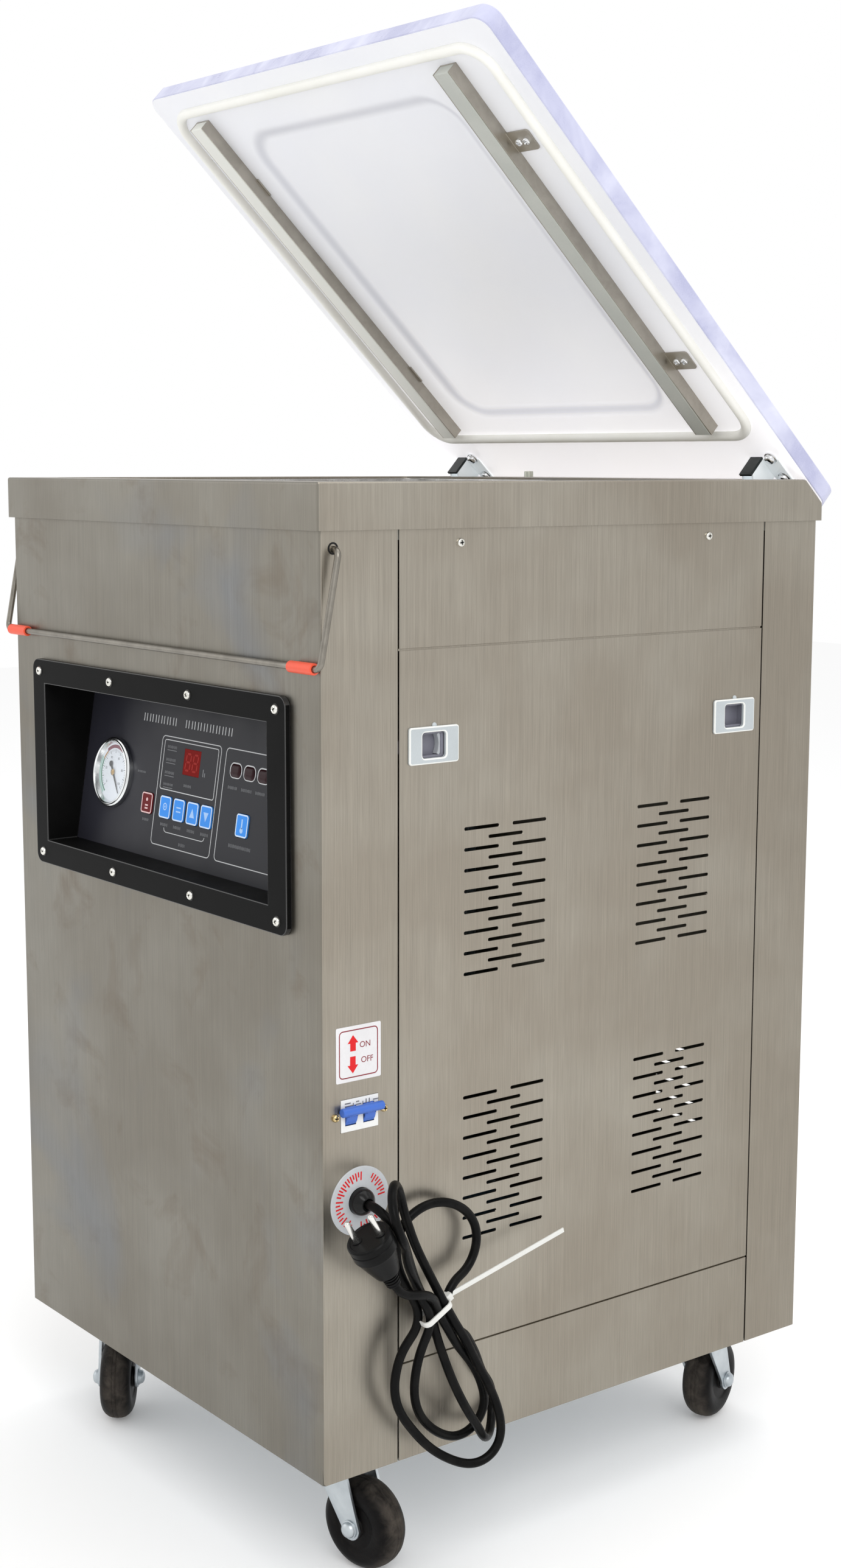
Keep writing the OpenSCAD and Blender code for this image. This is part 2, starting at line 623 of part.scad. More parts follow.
module gauge_needle() color(black) place() on_plate() translate([gauge_u, gauge_v, 0]) {
    translate([0, 0, -1.5]) cylinder(d = 2, h = gauge_proud - 1.5 - 0.3, $fn = 24);
    translate([0, 0, gauge_proud - 4.5]) rotate([0, 0, -55]) {
        translate([-8, -0.6, 0]) cube([30, 1.2, 0.8]);
        translate([-9, 0, 0]) cylinder(d = 5, h = 0.8, $fn = 24);
        cylinder(d = 4, h = 1.6, $fn = 24);
    }
}

window_u = 224;
window_v = 76;
window_w = 26;
window_h = 22;
module display_window() color([0.45, 0.05, 0.05]) place() on_plate() {
    translate([window_u, window_v, -plate_t - 2]) cube([window_w, window_h, plate_t + 2]);
    translate([window_u - 5, window_v - 5, -plate_t - 2]) cube([window_w + 10, window_h + 10, 2]);
    for (u = lamp_us) translate([u, lamp_v, -plate_t]) lamp(plate_t);
}

module push_button(key) color(key[0] < 180 ? "darkred" : blue) place() on_plate()
    translate([key[0] - key_w / 2, key_v - key[1] / 2, -plate_t]) {
        linear_extrude(plate_t + key_proud) round_square(key_w, key[1], 2.7);
        translate([-2, -1.2, -1.5 - clear]) cube([key_w + 4, key[1] + 2.4, 1.5]);
        translate([0, 0, -clear - eps]) linear_extrude(clear + 2 * eps) round_square(key_w, key[1], 2.7);
    }
module button_stop() push_button(keys[0]);
module button_vacuum() push_button(keys[1]);
module button_seal() push_button(keys[2]);
module button_up() push_button(keys[3]);
module button_down() push_button(keys[4]);
module button_heat() push_button(keys[5]);

toggle_back = 6;
toggle_reach = 11;
toggle_ys = [breaker_y - 8.5, breaker_y + 8.5];
module breaker_body() color("white") place() difference() {
    union() {
        translate([cab_w - sheet - clear - 50, breaker_y - 18, breaker_z - 40]) cube([50, 36, 80]);
        translate([cab_w - sheet - clear - eps, breaker_y - breaker_w / 2, breaker_z - breaker_nose / 2])
            cube([sheet + clear + 0.4, breaker_w, breaker_nose]);
    }
    for (y = toggle_ys) translate([cab_w - 16, y - 5.3, breaker_z - 11]) cube([20, 10.6, 22]);
}
module breaker_toggle() color(blue) place() translate([cab_w - toggle_back, 0, breaker_z]) rotate([0, -toggle_rest, 0]) {
    for (y = toggle_ys) {
        along_y(0, y - 5, 0, 19, 10);
        translate([0, y - 4, -3]) cube([toggle_reach, 8, 6]);
    }
    along_y(toggle_reach, breaker_y - 19.5, 0, 7, 39);
}

label_w = 42;
label_h = 43.3;
label_gap = 13.5;
module side_plates() color("white") place() {
    translate([cab_w, 12.7, breaker_z + breaker_nose / 2 + label_gap]) upright(0.3) round_square(label_w, label_h, 1);
    translate([cab_w, gland_y, gland_z]) upright(1) difference() {
        circle(d = ring_d, $fn = 96);
        circle(d = gland_d + 0.6, $fn = 64);
    }
}

// Each latch is a flush frame in the door with a slider behind its finger pocket
module latch_bodies() color([0.82, 0.84, 0.84]) place() for (y = latch_ys) translate([cab_w, y, latch_z]) difference() {
    union() {
        upright(latch_proud) translate([-latch_w / 2, -latch_h / 2]) round_square(latch_w, latch_h, 2.5);
        translate([-latch_depth, -latch_w / 2 + 4, -latch_h / 2 + 3]) cube([latch_depth + eps, latch_w - 8, latch_h - 6]);
    }
    translate([-latch_depth - 1, -cavity_w / 2, -cavity_h / 2]) cube([latch_depth, cavity_w, cavity_h]);
    translate([-2, -pocket_w / 2, -pocket_h / 2]) cube([latch_proud + 4, pocket_w, pocket_h]);
    translate([-sheet - 3 * clear - tongue_t, -latch_w, -5 - clear]) cube([tongue_t + 3 * clear, 2 * latch_w, 10 + 2 * clear]);
}
cavity_w = latch_w - 12;
cavity_h = latch_h - 8;
slider_w = cavity_w - latch_travel - 2 * clear;
// The tongue reaches this far behind the next panel
tongue_grip = latch_travel - 1;
tongue_l = latch_inset - cavity_w / 2 + clear + seam + tongue_grip;
tongue_t = 3;
// The front slider's tongue points forwards; the rear one is its mirror image
module latch_slider(y, side) color([0.55, 0.56, 0.60]) place() translate([cab_w - latch_depth, y, latch_z])
    mirror([0, side, 0]) {
        difference() {
            translate([0, -cavity_w / 2 + clear, -cavity_h / 2 + clear])
                cube([latch_depth - 1 - clear - 0.5, slider_w, cavity_h - 2 * clear]);
            translate([3, -cavity_w / 2 + clear + 4.5, -cavity_h / 2 + clear + 2])
                cube([latch_depth, slider_w - 7.5, cavity_h - 2 * clear - 4]);
        }
        translate([latch_depth - sheet - 1.5 * clear - tongue_t, -cavity_w / 2 + clear - tongue_l, -5])
            cube([tongue_t, tongue_l + eps, 10]);
    }
module latch_front() latch_slider(latch_ys[0], 0);
module latch_rear() latch_slider(latch_ys[1], 1);

race_h = 10;
module caster_plates() color(zinc) place() for (p = caster_places) translate([p[0], p[1], 0]) {
    translate([0, 0, -3]) linear_extrude(3) translate([-30, -30]) round_square(60, 60, 4);
    translate([0, 0, -3 - race_h]) cylinder(d = 36, h = race_h, $fn = 48);
    translate([0, 0, -3 - race_h - 10]) cylinder(d = 12, h = 11, $fn = 48);
    translate([0, 0, -3 - race_h - 10]) cylinder(d = 18, h = 5, $fn = 48);
}
fork_top = -3 - race_h - clear;
fork_t = 3;
fork_gap = wheel_w / 2 + 1.5;
module caster_fork(i) color(zinc) place() translate([caster_places[i][0], caster_places[i][1], 0])
    rotate([0, 0, caster_turns[i]]) {
        difference() {
            union() {
                translate([0, 0, fork_top - fork_t]) cylinder(d = 2 * fork_gap + 6, h = fork_t, $fn = 48);
                for (side = [-1, 1]) translate([0, side * (fork_gap + fork_t / 2) + fork_t / 2, 0]) rotate([90, 0, 0])
                    linear_extrude(fork_t) {
                        polygon([[-17, fork_top], [19, fork_top], [caster_trail + 9.5, axle_z], [caster_trail - 9.5, axle_z]]);
                        translate([caster_trail, axle_z]) circle(9.5, $fn = 48);
                    }
            }
            translate([0, 0, fork_top - 20]) cylinder(d = 12 + 2 * run, h = 30, $fn = 48);
            along_y(caster_trail, -40, axle_z, axle_d + 2 * run, 80);
        }
        along_y(caster_trail, -fork_gap - fork_t, axle_z, axle_d, 2 * fork_gap + 2 * fork_t);
        for (side = [0, 1]) mirror([0, side, 0])
            along_y(caster_trail, fork_gap + fork_t, axle_z, 13, 5);
    }
module fork_front_left() caster_fork(0);
module fork_front_right() caster_fork(1);
module fork_rear_left() caster_fork(2);
module fork_rear_right() caster_fork(3);

module caster_wheel(i) color([0.13, 0.12, 0.12]) place() translate([caster_places[i][0], caster_places[i][1], axle_z])
    rotate([0, 0, caster_turns[i]]) translate([caster_trail, 0, 0]) rotate([90, 0, 0]) rotate_extrude($fn = 96)
        difference() {
            union() {
                translate([axle_d / 2 + run, -wheel_w / 2]) square([wheel_d / 2 - 9 - axle_d / 2 - run, wheel_w]);
                translate([wheel_d / 2 - 9 - eps, -wheel_w / 2 + 9]) square([9 + eps, wheel_w - 18]);
                for (side = [-1, 1]) translate([wheel_d / 2 - 9, side * (wheel_w / 2 - 9)]) circle(9, $fn = 48);
            }
            for (side = [-1, 1]) translate([(wheel_d / 2 + 6) / 2, side * wheel_w / 2]) circle(3, $fn = 24);
        }
module wheel_front_left() caster_wheel(0);
module wheel_front_right() caster_wheel(1);
module wheel_rear_left() caster_wheel(2);
module wheel_rear_right() caster_wheel(3);

// Rotary vane pump with its motor on rubber feet, on the base
pump_x = cab_w / 2;
pump_y = cab_d / 2 - 13.5;
pump_h = 170;
pump_l = 260;
pump_w = 130;
oil_case_l = 110;
motor_d = 126;
foot_h = 16;
module vacuum_pump() color([0.35, 0.40, 0.44]) place() translate([pump_x, pump_y, 2]) {
    for (x = [-1, 1], y = [-1, 1]) translate([x * (pump_l / 2 - 20), y * (pump_w / 2 - 20), 0])
        cylinder(d = 26, h = foot_h, $fn = 32);
    translate([-pump_l / 2, -pump_w / 2, foot_h]) cube([pump_l, pump_w, 6]);
    translate([5 - pump_l / 2, 0, 0]) {
        translate([0, 5 - pump_w / 2, foot_h + 6]) cube([oil_case_l, pump_w - 10, pump_h - foot_h - 6]);
        for (i = [0 : 6]) translate([6 + i * 15, -3 - pump_w / 2, foot_h + 18]) cube([4, pump_w + 6, pump_h - foot_h - 44]);
        translate([oil_case_l / 2, 0, pump_h - eps]) cylinder(d = 40, h = 21, $fn = 48);
        translate([oil_case_l + joint, 0, foot_h + 13 + motor_d / 2]) rotate([0, 90, 0]) {
            cylinder(d = motor_d, h = pump_l / 2 - 11, $fn = 64);
            translate([0, 0, pump_l / 2 - 11]) cylinder(d = motor_d + 6, h = 24, $fn = 64);
        }
        translate([oil_case_l + 35, -22, foot_h + 7 + motor_d]) cube([60, 44, 20]);
        translate([oil_case_l + 15, -40, foot_h + 6 + joint]) cube([100, 80, 14]);
    }
}

hose_top = chamber_floor - 2 - 60;
module valve_and_hose() place() {
    valve_x = chamber_left + chamber_w / 2;
    valve_y = chamber_y + chamber_d / 2;
    port_x = pump_x + 5 - pump_l / 2 + oil_case_l / 2;
    color([0.75, 0.65, 0.35]) translate([valve_x - 25, valve_y - 25, hose_top]) cube([50, 50, 40]);
    color(steel) translate([valve_x, valve_y, hose_top + 40 - eps]) cylinder(d = 29, h = 20 + 2 + eps, $fn = 48);
    color(black) translate([valve_x + 25 - eps, valve_y - 15, hose_top + 5]) cube([38, 30, 30]);
    color([0.8, 0.8, 0.75]) sweep([for (i = [0 : 16]) let (f = i / 16, s = (1 - cos(180 * f)) / 2)
        [port_x + (valve_x - port_x) * s, pump_y + (valve_y - pump_y) * s,
            2 + pump_h + 22 + (hose_top - pump_h - 24) * f]], 34, 12, [0, 1, 0]);
}

core_l = 100;
core_h = 88;
coil_w = 72;
module transformer() color([0.50, 0.33, 0.20]) place() translate([cab_w / 2 - core_l / 2, cab_d - 130, 2]) {
    translate([-10, 0, 0]) cube([core_l + 20, coil_w + 8, 3]);
    translate([0, coil_w / 4, 3]) cube([core_l, coil_w - 28, core_h]);
    translate([18, 4, 20]) cube([core_l - 36, coil_w, core_h - 34]);
}

board_w = 200;
board_h = 100;
board_back = 26;
module control_board() color([0.10, 0.35, 0.20]) place() on_plate() translate([170, 10, -board_back]) {
    cube([board_w, board_h, 1.6]);
    for (u = [8, board_w - 8], v = [8, board_h - 8])
        translate([u, v, 1.6]) cylinder(d = 7, h = board_back - plate_t - 1.6, $fn = 32);
    translate([20, 20, -22]) cube([40, 32, 22]);
    for (u = [80, 130]) translate([u, 18, -16]) cube([28, 14, 16]);
}

module cord_gland() color(black) place() {
    difference() {
        translate([cab_w, gland_y, gland_z]) rotate([0, 90, 0]) rotate_extrude($fn = 64) difference() {
            translate([0, -16]) union() {
                square([thread_d / 2, 16 + eps]);
                translate([0, 16]) square([gland_d / 2, 5]);
                polygon([[0, 21 - eps], [gland_d / 2, 21 - eps], [cord_d / 2 + 2.4, 16 + gland_l], [0, 16 + gland_l]]);
            }
            translate([-1, -20]) square([1, 60]);
        }
        along_x(cab_w - 20, gland_y, gland_z, cord_d + 2 * run, 20 + gland_l - 5);
    }
    translate([cab_w - sheet - 5, gland_y, gland_z]) rotate([0, 90, 0]) difference() {
        cylinder(d = 19, h = 5, $fn = 6);
        translate([0, 0, -1]) cylinder(d = thread_d + 2 * run, h = 7, $fn = 48);
    }
}

// The mains cord hangs at the gland as a tied hank. Points are in front of the
// right wall: out of the wall, back from the front face, up from the base
cord_d = 7.3;
cord_route = [[12, 34.6, 224], [18, 34.6, 224], [26, 35, 222.5], [33, 38, 217.5], [37, 43, 208], [36, 50, 196], [33, 57, 182]];
plug_route = [[42, 36.5, 169.6], [42, 42, 162], [41, 53, 156], [38, 68, 152], [33, 80, 144]];
waist = [23.5, 89, 128.5];
waist_size = [15, 27, 12];
waist_lean = 28;

module cord_tube() color(black) place() translate([cab_w, 0, 0]) {
    sweep(cord_route, cord_d, 8, [0, 0, 1]);
    sweep(plug_route, cord_d, 8, [1, 0, 0]);
}

// Six strands pass through the tie; the loops spread out from there
module at_waist() translate(waist) rotate([waist_lean, 0, 0]) children();
module hank_waist() at_waist() translate([-waist_size[0] / 2, -waist_size[1] / 2, -waist_size[2] / 2])
    linear_extrude(waist_size[2]) round_square(waist_size[0], waist_size[1], 4);
module hank_loop(near, far, y, z, r) translate([near, 0, 0]) upright(far - near) translate([y, z]) circle(r, $fn = 32);
module cord_hank() color(black) place() translate([cab_w, 0, 0]) {
    hull() {
        hank_waist();
        hank_loop(13, 54, 51, 226, 20);
    }
    hull() {
        hank_waist();
        hank_loop(7, 24, 102, 174, 41.5);
    }
    hull() {
        hank_waist();
        hank_loop(12, 30, 79, 66, 28.5);
        hank_loop(1, 46, 124, 35, 41.5);
    }
}

tie_t = 1.3;
tie_w = 4.6;
tie_tail = 122;
module cord_tie() color([0.93, 0.93, 0.92]) place() translate([cab_w, 0, 0]) at_waist() {
    translate([-waist_size[0] / 2, -waist_size[1] / 2, -tie_w / 2]) linear_extrude(tie_w)
        round_ring(waist_size[0], waist_size[1], 4, tie_t);
    translate([-waist_size[0] / 2 + 2, waist_size[1] / 2 + 1, -3]) cube([7, 5.5, 6]);
    translate([-waist_size[0] / 2 + 5, waist_size[1] / 2 + 5, -2]) rotate([-15, 0, 0]) cube([tie_t, tie_tail, 4]);
}

// Two-pin plug whose face looks up and forwards
plug_lean = 30;
pin_turn = 47;
module plug() place() translate([cab_w + 42, 12, 212]) rotate([plug_lean, 0, 0]) {
    color(black) {
        translate([0, 0, -14]) cylinder(d = 36, h = 14, $fn = 64);
        hull() {
            translate([0, 0, -15]) cylinder(d = 34, h = 1, $fn = 32);
            translate([0, 0, -36]) cylinder(d = 20, h = 1, $fn = 32);
        }
        translate([0, 0, -49]) cylinder(d = 12, h = 14, $fn = 48);
    }
    color(steel) for (x = [-9.5, 9.5]) rotate([0, 0, pin_turn]) translate([x, 0, 0]) cylinder(d = 4.8, h = 19, $fn = 48);
}

chassis();
front_panel();
rear_panel();
fixed_side_panels();
side_door_right();
side_door_left();
top_tray();
chamber_tub();
filler_plates();
lift_cylinders();
seal_bar_left();
seal_bar_right();
lid();
lid_gasket();
pressure_bars();
pressure_strips();
lid_fasteners();
hinge_arms();
hinge_shaft();
hinge_brackets();
lid_springs();
lid_switch_pin();
bail();
bail_sleeves();
bezel();
panel_screws();
control_plate();
gauge_case();
gauge_needle();
display_window();
button_vacuum();
button_seal();
button_up();
button_down();
button_heat();
button_stop();
breaker_body();
breaker_toggle();
side_plates();
latch_bodies();
latch_front();
latch_rear();
caster_plates();
fork_front_left();
fork_front_right();
fork_rear_left();
fork_rear_right();
wheel_front_left();
wheel_front_right();
wheel_rear_left();
wheel_rear_right();
vacuum_pump();
valve_and_hose();
transformer();
control_board();
cord_gland();
cord_tube();
cord_hank();
cord_tie();
plug();
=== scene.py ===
import json
import math
import bpy
import bmesh
import numpy as np
from mathutils import Matrix, Vector


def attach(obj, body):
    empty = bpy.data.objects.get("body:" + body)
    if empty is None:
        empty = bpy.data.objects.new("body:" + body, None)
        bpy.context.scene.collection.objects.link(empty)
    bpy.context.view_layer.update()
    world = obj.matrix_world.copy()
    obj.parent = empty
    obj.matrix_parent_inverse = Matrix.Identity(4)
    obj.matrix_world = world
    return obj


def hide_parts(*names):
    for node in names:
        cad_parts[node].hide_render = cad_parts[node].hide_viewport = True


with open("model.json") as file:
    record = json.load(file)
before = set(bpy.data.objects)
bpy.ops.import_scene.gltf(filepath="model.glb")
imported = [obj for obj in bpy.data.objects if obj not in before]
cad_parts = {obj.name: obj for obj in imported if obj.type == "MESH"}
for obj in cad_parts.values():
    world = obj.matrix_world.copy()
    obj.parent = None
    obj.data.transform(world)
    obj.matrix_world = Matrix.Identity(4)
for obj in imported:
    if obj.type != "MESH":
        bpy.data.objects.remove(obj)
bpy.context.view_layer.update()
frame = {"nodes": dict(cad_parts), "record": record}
print("frame loaded")

# The cabinet's own frame is in millimetres: x from its left face, y from its front face, z from its base
cabinet = dict(width=482, depth=527, height=737, sheet=1.5, midY=270.528, base=101)
nodeBody = {node: body for body, nodes in frame["record"]["behaviour"]["bodies"].items() for node in nodes}


def spot(x, y, z):
    return Vector((x - cabinet["width"] / 2, y - cabinet["midY"], z + cabinet["base"])) / 1000


def moved(x, y, z=0):
    return Matrix.Translation((x, y, z))


def spun(degrees, axis="Z"):
    return Matrix.Rotation(math.radians(degrees), 4, axis)


# ---- camera, light and floor

view = dict(place=(1772.6, -895.5, 785.8), azimuth=52.554, pitch=8.489, roll=0.105, lens=49.36)
camera = bpy.data.objects.new("camera", bpy.data.cameras.new("camera"))
bpy.context.scene.collection.objects.link(camera)
camera.data.sensor_width = 36
camera.data.lens = view["lens"]
camera.data.clip_start = 0.05
camera.location = spot(*view["place"])
camera.rotation_euler = (spun(view["azimuth"]) @ spun(90 - view["pitch"], "X") @ spun(view["roll"])).to_euler()
bpy.context.scene.camera = camera
bpy.context.scene.view_settings.view_transform = "Standard"


class Wire:
    # an output socket; arithmetic on it adds Math nodes to its material
    def __init__(self, finish, socket):
        self.finish = finish
        self.socket = socket

    def math(self, operation, *values):
        return self.finish.node("Math", dict(operation=operation), dict(enumerate(values)))

    def __add__(self, other):
        return self.math("ADD", self, other)

    def __rsub__(self, other):
        return self.math("SUBTRACT", other, self)

    def __mul__(self, other):
        return self.math("MULTIPLY", self, other)

    __radd__ = __add__
    __rmul__ = __mul__


class Finish:
    # a material under construction
    def __init__(self, name, holder=None):
        self.material = holder or bpy.data.materials.new(name)
        self.material.use_nodes = True
        self.tree = self.material.node_tree
        self.tree.nodes.clear()
        self.place = self.node("TexCoord", output="Object")

    def node(self, kind, settings=None, values=None, output=0):
        made = self.tree.nodes.new("ShaderNode" + kind)
        for key, value in (settings or {}).items():
            setattr(made, key, value)
        for key, value in (values or {}).items():
            if isinstance(value, Wire):
                self.tree.links.new(value.socket, made.inputs[key])
            else:
                made.inputs[key].default_value = value
        return Wire(self, made.outputs[output]) if len(made.outputs) else made

    def stretched(self, scale, shift=(0, 0, 0)):
        return self.node("Mapping", dict(vector_type="POINT"),
                         dict(Vector=self.place, Location=shift, Scale=scale))

    def noise(self, scale, detail=3, roughness=0.5, vector=None, distortion=0):
        values = dict(Vector=vector or self.place, Scale=scale, Detail=detail, Roughness=roughness,
                      Distortion=distortion)
        return self.node("TexNoise", {}, values)

    def spread(self, wire, low, high, toLow=0.0, toHigh=1.0):
        values = {"Value": wire, "From Min": low, "From Max": high, "To Min": toLow, "To Max": toHigh}
        return self.node("MapRange", {}, values)

    def blend(self, mask, first, second, mode="MIX"):
        def colour(c):
            return c if isinstance(c, Wire) else (*c, 1)
        settings = dict(data_type="RGBA", blend_type=mode)
        return self.node("Mix", settings, {0: mask, 6: colour(first), 7: colour(second)}, output=2)

    def axis(self, index):
        return self.node("SeparateXYZ", {}, dict(Vector=self.place), output=index)

    def bump(self, height, strength, distance):
        return self.node("Bump", {}, dict(Height=height, Strength=strength, Distance=distance))

    def done(self, colour, **values):
        names = dict(specular="Specular IOR Level")
        named = {names.get(key, key.replace("_", " ")): value for key, value in values.items()}
        named["Base Color"] = colour if isinstance(colour, Wire) else (*colour, 1)
        shader = self.node("BsdfPrincipled", {}, named)
        self.node("OutputMaterial", {}, dict(Surface=shader))
        return self.material


def setStage():
    world = bpy.data.worlds.new("world")
    bpy.context.scene.world = world
    world.use_nodes = True
    sky = Finish("world", world)
    rays = [sky.node("LightPath", output="Is %s Ray" % kind) for kind in ("Camera", "Glossy", "Transmission")]
    seen = rays[0].math("MAXIMUM", rays[0], rays[1])
    seen = seen.math("MAXIMUM", seen, rays[2])
    level = sky.spread(seen, 0, 1, stage["fill"], 1)
    background = sky.node("Background", {}, dict(Color=(1, 1, 1, 1), Strength=level))
    sky.node("OutputWorld", {}, dict(Surface=background))
    for name, (place, size, power) in stage["lamps"].items():
        lamp = bpy.data.objects.new(name, bpy.data.lights.new(name, "AREA"))
        bpy.context.scene.collection.objects.link(lamp)
        lamp.data.shape = "RECTANGLE"
        lamp.data.size, lamp.data.size_y = size
        lamp.data.energy = power
        lamp.location = place
        lamp.rotation_euler = (Vector((0, 0, 0.6)) - Vector(place)).to_track_quat("-Z", "Y").to_euler()
    floor = bpy.data.meshes.new("floor")
    half = stage["floor"] / 2
    floor.from_pydata([(-half, -half, 0), (half, -half, 0), (half, half, 0), (-half, half, 0)], [],
                      [(0, 1, 2, 3)])
    ground = bpy.data.objects.new("floor", floor)
    bpy.context.scene.collection.objects.link(ground)
    pale = Finish("paleFloor")
    shade = pale.node("BsdfDiffuse", {}, {"Color": (0.9, 0.9, 0.9, 1)})
    glow = pale.node("Emission", {}, dict(Color=(1, 1, 1, 1), Strength=stage["floorGlow"]))
    pale.node("OutputMaterial", {}, dict(Surface=pale.node("AddShader", {}, {0: shade, 1: glow})))
    floor.materials.append(pale.material)


stage = dict(
    fill=0.92,
    floor=14,
    floorGlow=0.12,
    lamps=dict(
        keyLamp=((2.6, -1.2, 2.6), (1.8, 1.8), 37),
        sideLamp=((-2.2, -2.4, 1.8), (1.6, 2.2), 9),
        topLamp=((0.2, 0.6, 3.2), (2.4, 2.4), 24),
    ),
)
setStage()
print("camera, light and floor set")


# ---- the mains lead: a tied hank that hangs at the gland, end to end about 1.6 m

lead = dict(
    diameter=7.3, foldRadius=24, step=4, rounds=300, settling=6, gap=0.3, wall=4.6, home=0.004, fairing=0.04,
    bendPush=0.12, bendPull=0.6, strandPush=0.35, plugPush=0.5, plugEnd=10, neighbours=6,
)
plugShape = dict(face=(42, 12, 212), lean=30, radius=18, neck=10, body=14, taper=36, stem=49, stemRadius=7)
# points out of the right wall, back from the front face and up from the base
leadRoute = [
    # out of the gland, down through the tie and along the inner strand to the fold at the lower right
    (12, 34.6, 224), (18, 34.6, 224), (26, 35, 222.5), (33, 38, 217.5), (37, 43, 208), (36, 50, 196),
    (33, 57, 182), (27, 66, 166), (23, 75, 150), (20, 87.6, 128), (22, 92, 110), (28, 95, 92), (34, 99, 74),
    (37, 107, 55), (36, 118, 37), (31, 131, 22), (23, 145, 11), (13, 157, 9), (7, 162, 20), (6, 159, 40),
    (8, 149, 62), (12, 136, 84), (16, 119, 105),
    # up on the right of the tie and round the big upper loop
    (20, 99, 127), (18, 113, 140), (15, 128, 153), (14, 138, 169), (14, 136, 188), (14, 122, 204),
    (13, 101, 212), (12, 81, 209), (11, 67, 197), (11, 62, 181), (13, 64, 163), (17, 71, 144),
    # down on the left of the tie and round the outer lower loop
    (20, 77, 122), (19, 66, 108), (18, 59, 92), (18, 55, 74), (18, 59, 54), (20, 69, 37), (24, 84, 18),
    (29, 101, 5), (35, 119, -2), (39, 134, 2), (40, 143, 14), (39, 144, 31), (36, 139, 51), (32, 130, 72),
    (29, 116, 96), (27.5, 106, 115),
    # up again, over the narrow upper loop
    (27, 97.4, 133), (24, 87, 155), (20, 77, 178), (17, 69, 200), (17, 62, 222), (24, 52, 237), (35, 40, 243),
    (44, 31, 238), (49, 31, 226), (50, 36, 213), (46, 43, 200), (41, 50, 184), (35, 60, 167), (30, 71, 149),
    # down behind the tie and round the inner lower loop
    (27, 83, 125), (24, 79, 107), (20, 76, 88), (17, 75, 66), (16, 80, 45), (17, 92, 29), (18, 107, 19),
    (19, 122, 16), (20, 135, 22), (21, 142, 36), (22, 139, 53), (24, 129, 73), (27, 112, 98),
    # and up to the plug
    (27, 91, 129), (33, 80, 144), (38, 68, 152), (41, 53, 156), (42, 42, 162), (42, 36.5, 169.6),
]


def smoothLine(points, parts):
    p = np.array(points, float)
    p = np.vstack([2 * p[0] - p[1], p, 2 * p[-1] - p[-2]])
    t = (np.arange(parts) / parts)[:, None]
    line = []
    for a, b, c, d in zip(p, p[1:], p[2:], p[3:]):
        line.append(0.5 * (2 * b + (c - a) * t + (2 * a - 5 * b + 4 * c - d) * t**2 + (3 * b - a - 3 * c + d) * t**3))
    return np.vstack([*line, p[-2]])


def evenSteps(line, step):
    run = np.concatenate([[0], np.cumsum(np.linalg.norm(np.diff(line, axis=0), axis=1))])
    at = np.linspace(0, run[-1], int(round(run[-1] / step)) + 1)
    return np.array([np.interp(at, run, line[:, k]) for k in range(3)]).T


def plugClearance(x):
    lean = math.radians(plugShape["lean"])
    along = np.array([0, -math.sin(lean), math.cos(lean)])
    off = x - np.array(plugShape["face"])
    height = off @ along
    out = off - height[:, None] * along
    taper = plugShape["radius"] + (height + plugShape["body"]) * 8 / 22
    radius = np.where(height > -plugShape["body"], plugShape["radius"], taper)
    radius = np.where(height < -plugShape["taper"], plugShape["stemRadius"], radius)
    near = (height < 3) & (height > -plugShape["stem"])
    return out, np.linalg.norm(out, axis=1) + 1e-9, radius, near


def settleLead():
    # the strands of the hank push each other apart, and no bend stays tighter than the fold radius
    x = evenSteps(smoothLine(leadRoute, 8), lead["step"])
    home = x.copy()
    count = len(x)
    index = np.arange(count)
    step = np.linalg.norm(np.diff(x, axis=0), axis=1).mean()
    apart = lead["diameter"] + lead["gap"]
    free = np.ones(count)
    free[:2] = 0
    free[-2:] = 0
    held = free[:, None]
    for each in range(lead["rounds"]):
        x += (home - x) * lead["home"] * held
        curve = np.zeros_like(x)
        curve[1:-1] = x[:-2] - 2 * x[1:-1] + x[2:]
        change = np.zeros_like(x)
        change[1:-1] = curve[:-2] - 2 * curve[1:-1] + curve[2:]
        x -= lead["fairing"] * change * held
        for turn in range(lead["settling"]):
            for reach in (2, 3, 4, 5):
                chord = 2 * lead["foldRadius"] * math.sin(reach * step / lead["foldRadius"])
                first, middle, last = index[: -2 * reach], index[reach:-reach], index[2 * reach:]
                line = x[last] - x[first]
                size = np.linalg.norm(line, axis=1)
                short = np.maximum(chord - size, 0)
                push = line / size[:, None] * short[:, None] * lead["bendPush"]
                move = np.zeros_like(x)
                move[last] += push
                move[first] -= push
                move[middle] += ((x[first] + x[last]) / 2 - x[middle]) * (short / chord)[:,
                        None] * lead["bendPull"]
                x += move * held
            if turn % 2 == 0:
                gaps = x[:, None] - x[None]
                far = np.linalg.norm(gaps, axis=2)
                a, b = np.nonzero((far < apart) & (index[:, None] - index[None] > lead["neighbours"]))
                push = gaps[a, b] * ((apart - far[a, b]) / (far[a, b] + 1e-9) * lead["strandPush"])[:, None]
                move = np.zeros_like(x)
                np.add.at(move, a, push)
                np.add.at(move, b, -push)
                x += move * held
                x[3:-3, 0] = np.maximum(x[3:-3, 0], lead["wall"])
                out, size, radius, near = plugClearance(x)
                need = radius + lead["diameter"] / 2 + lead["gap"]
                inside = near & (size < need) & (index < count - lead["plugEnd"])
                x[inside] += out[inside] * ((need - size) / size)[inside][:, None] * lead["plugPush"]
            for odd in (0, 1, 0, 1):
                first = index[odd:-1:2]
                line = x[first + 1] - x[first]
                size = np.linalg.norm(line, axis=1)
                slack = (size - step) / size
                total = np.maximum(free[first] + free[first + 1], 1e-9)
                x[first] += line * (slack * free[first] / total)[:, None]
                x[first + 1] -= line * (slack * free[first + 1] / total)[:, None]
    return x


def atWall(points):
    return [spot(cabinet["width"] + out, y, z) for out, y, z in points]


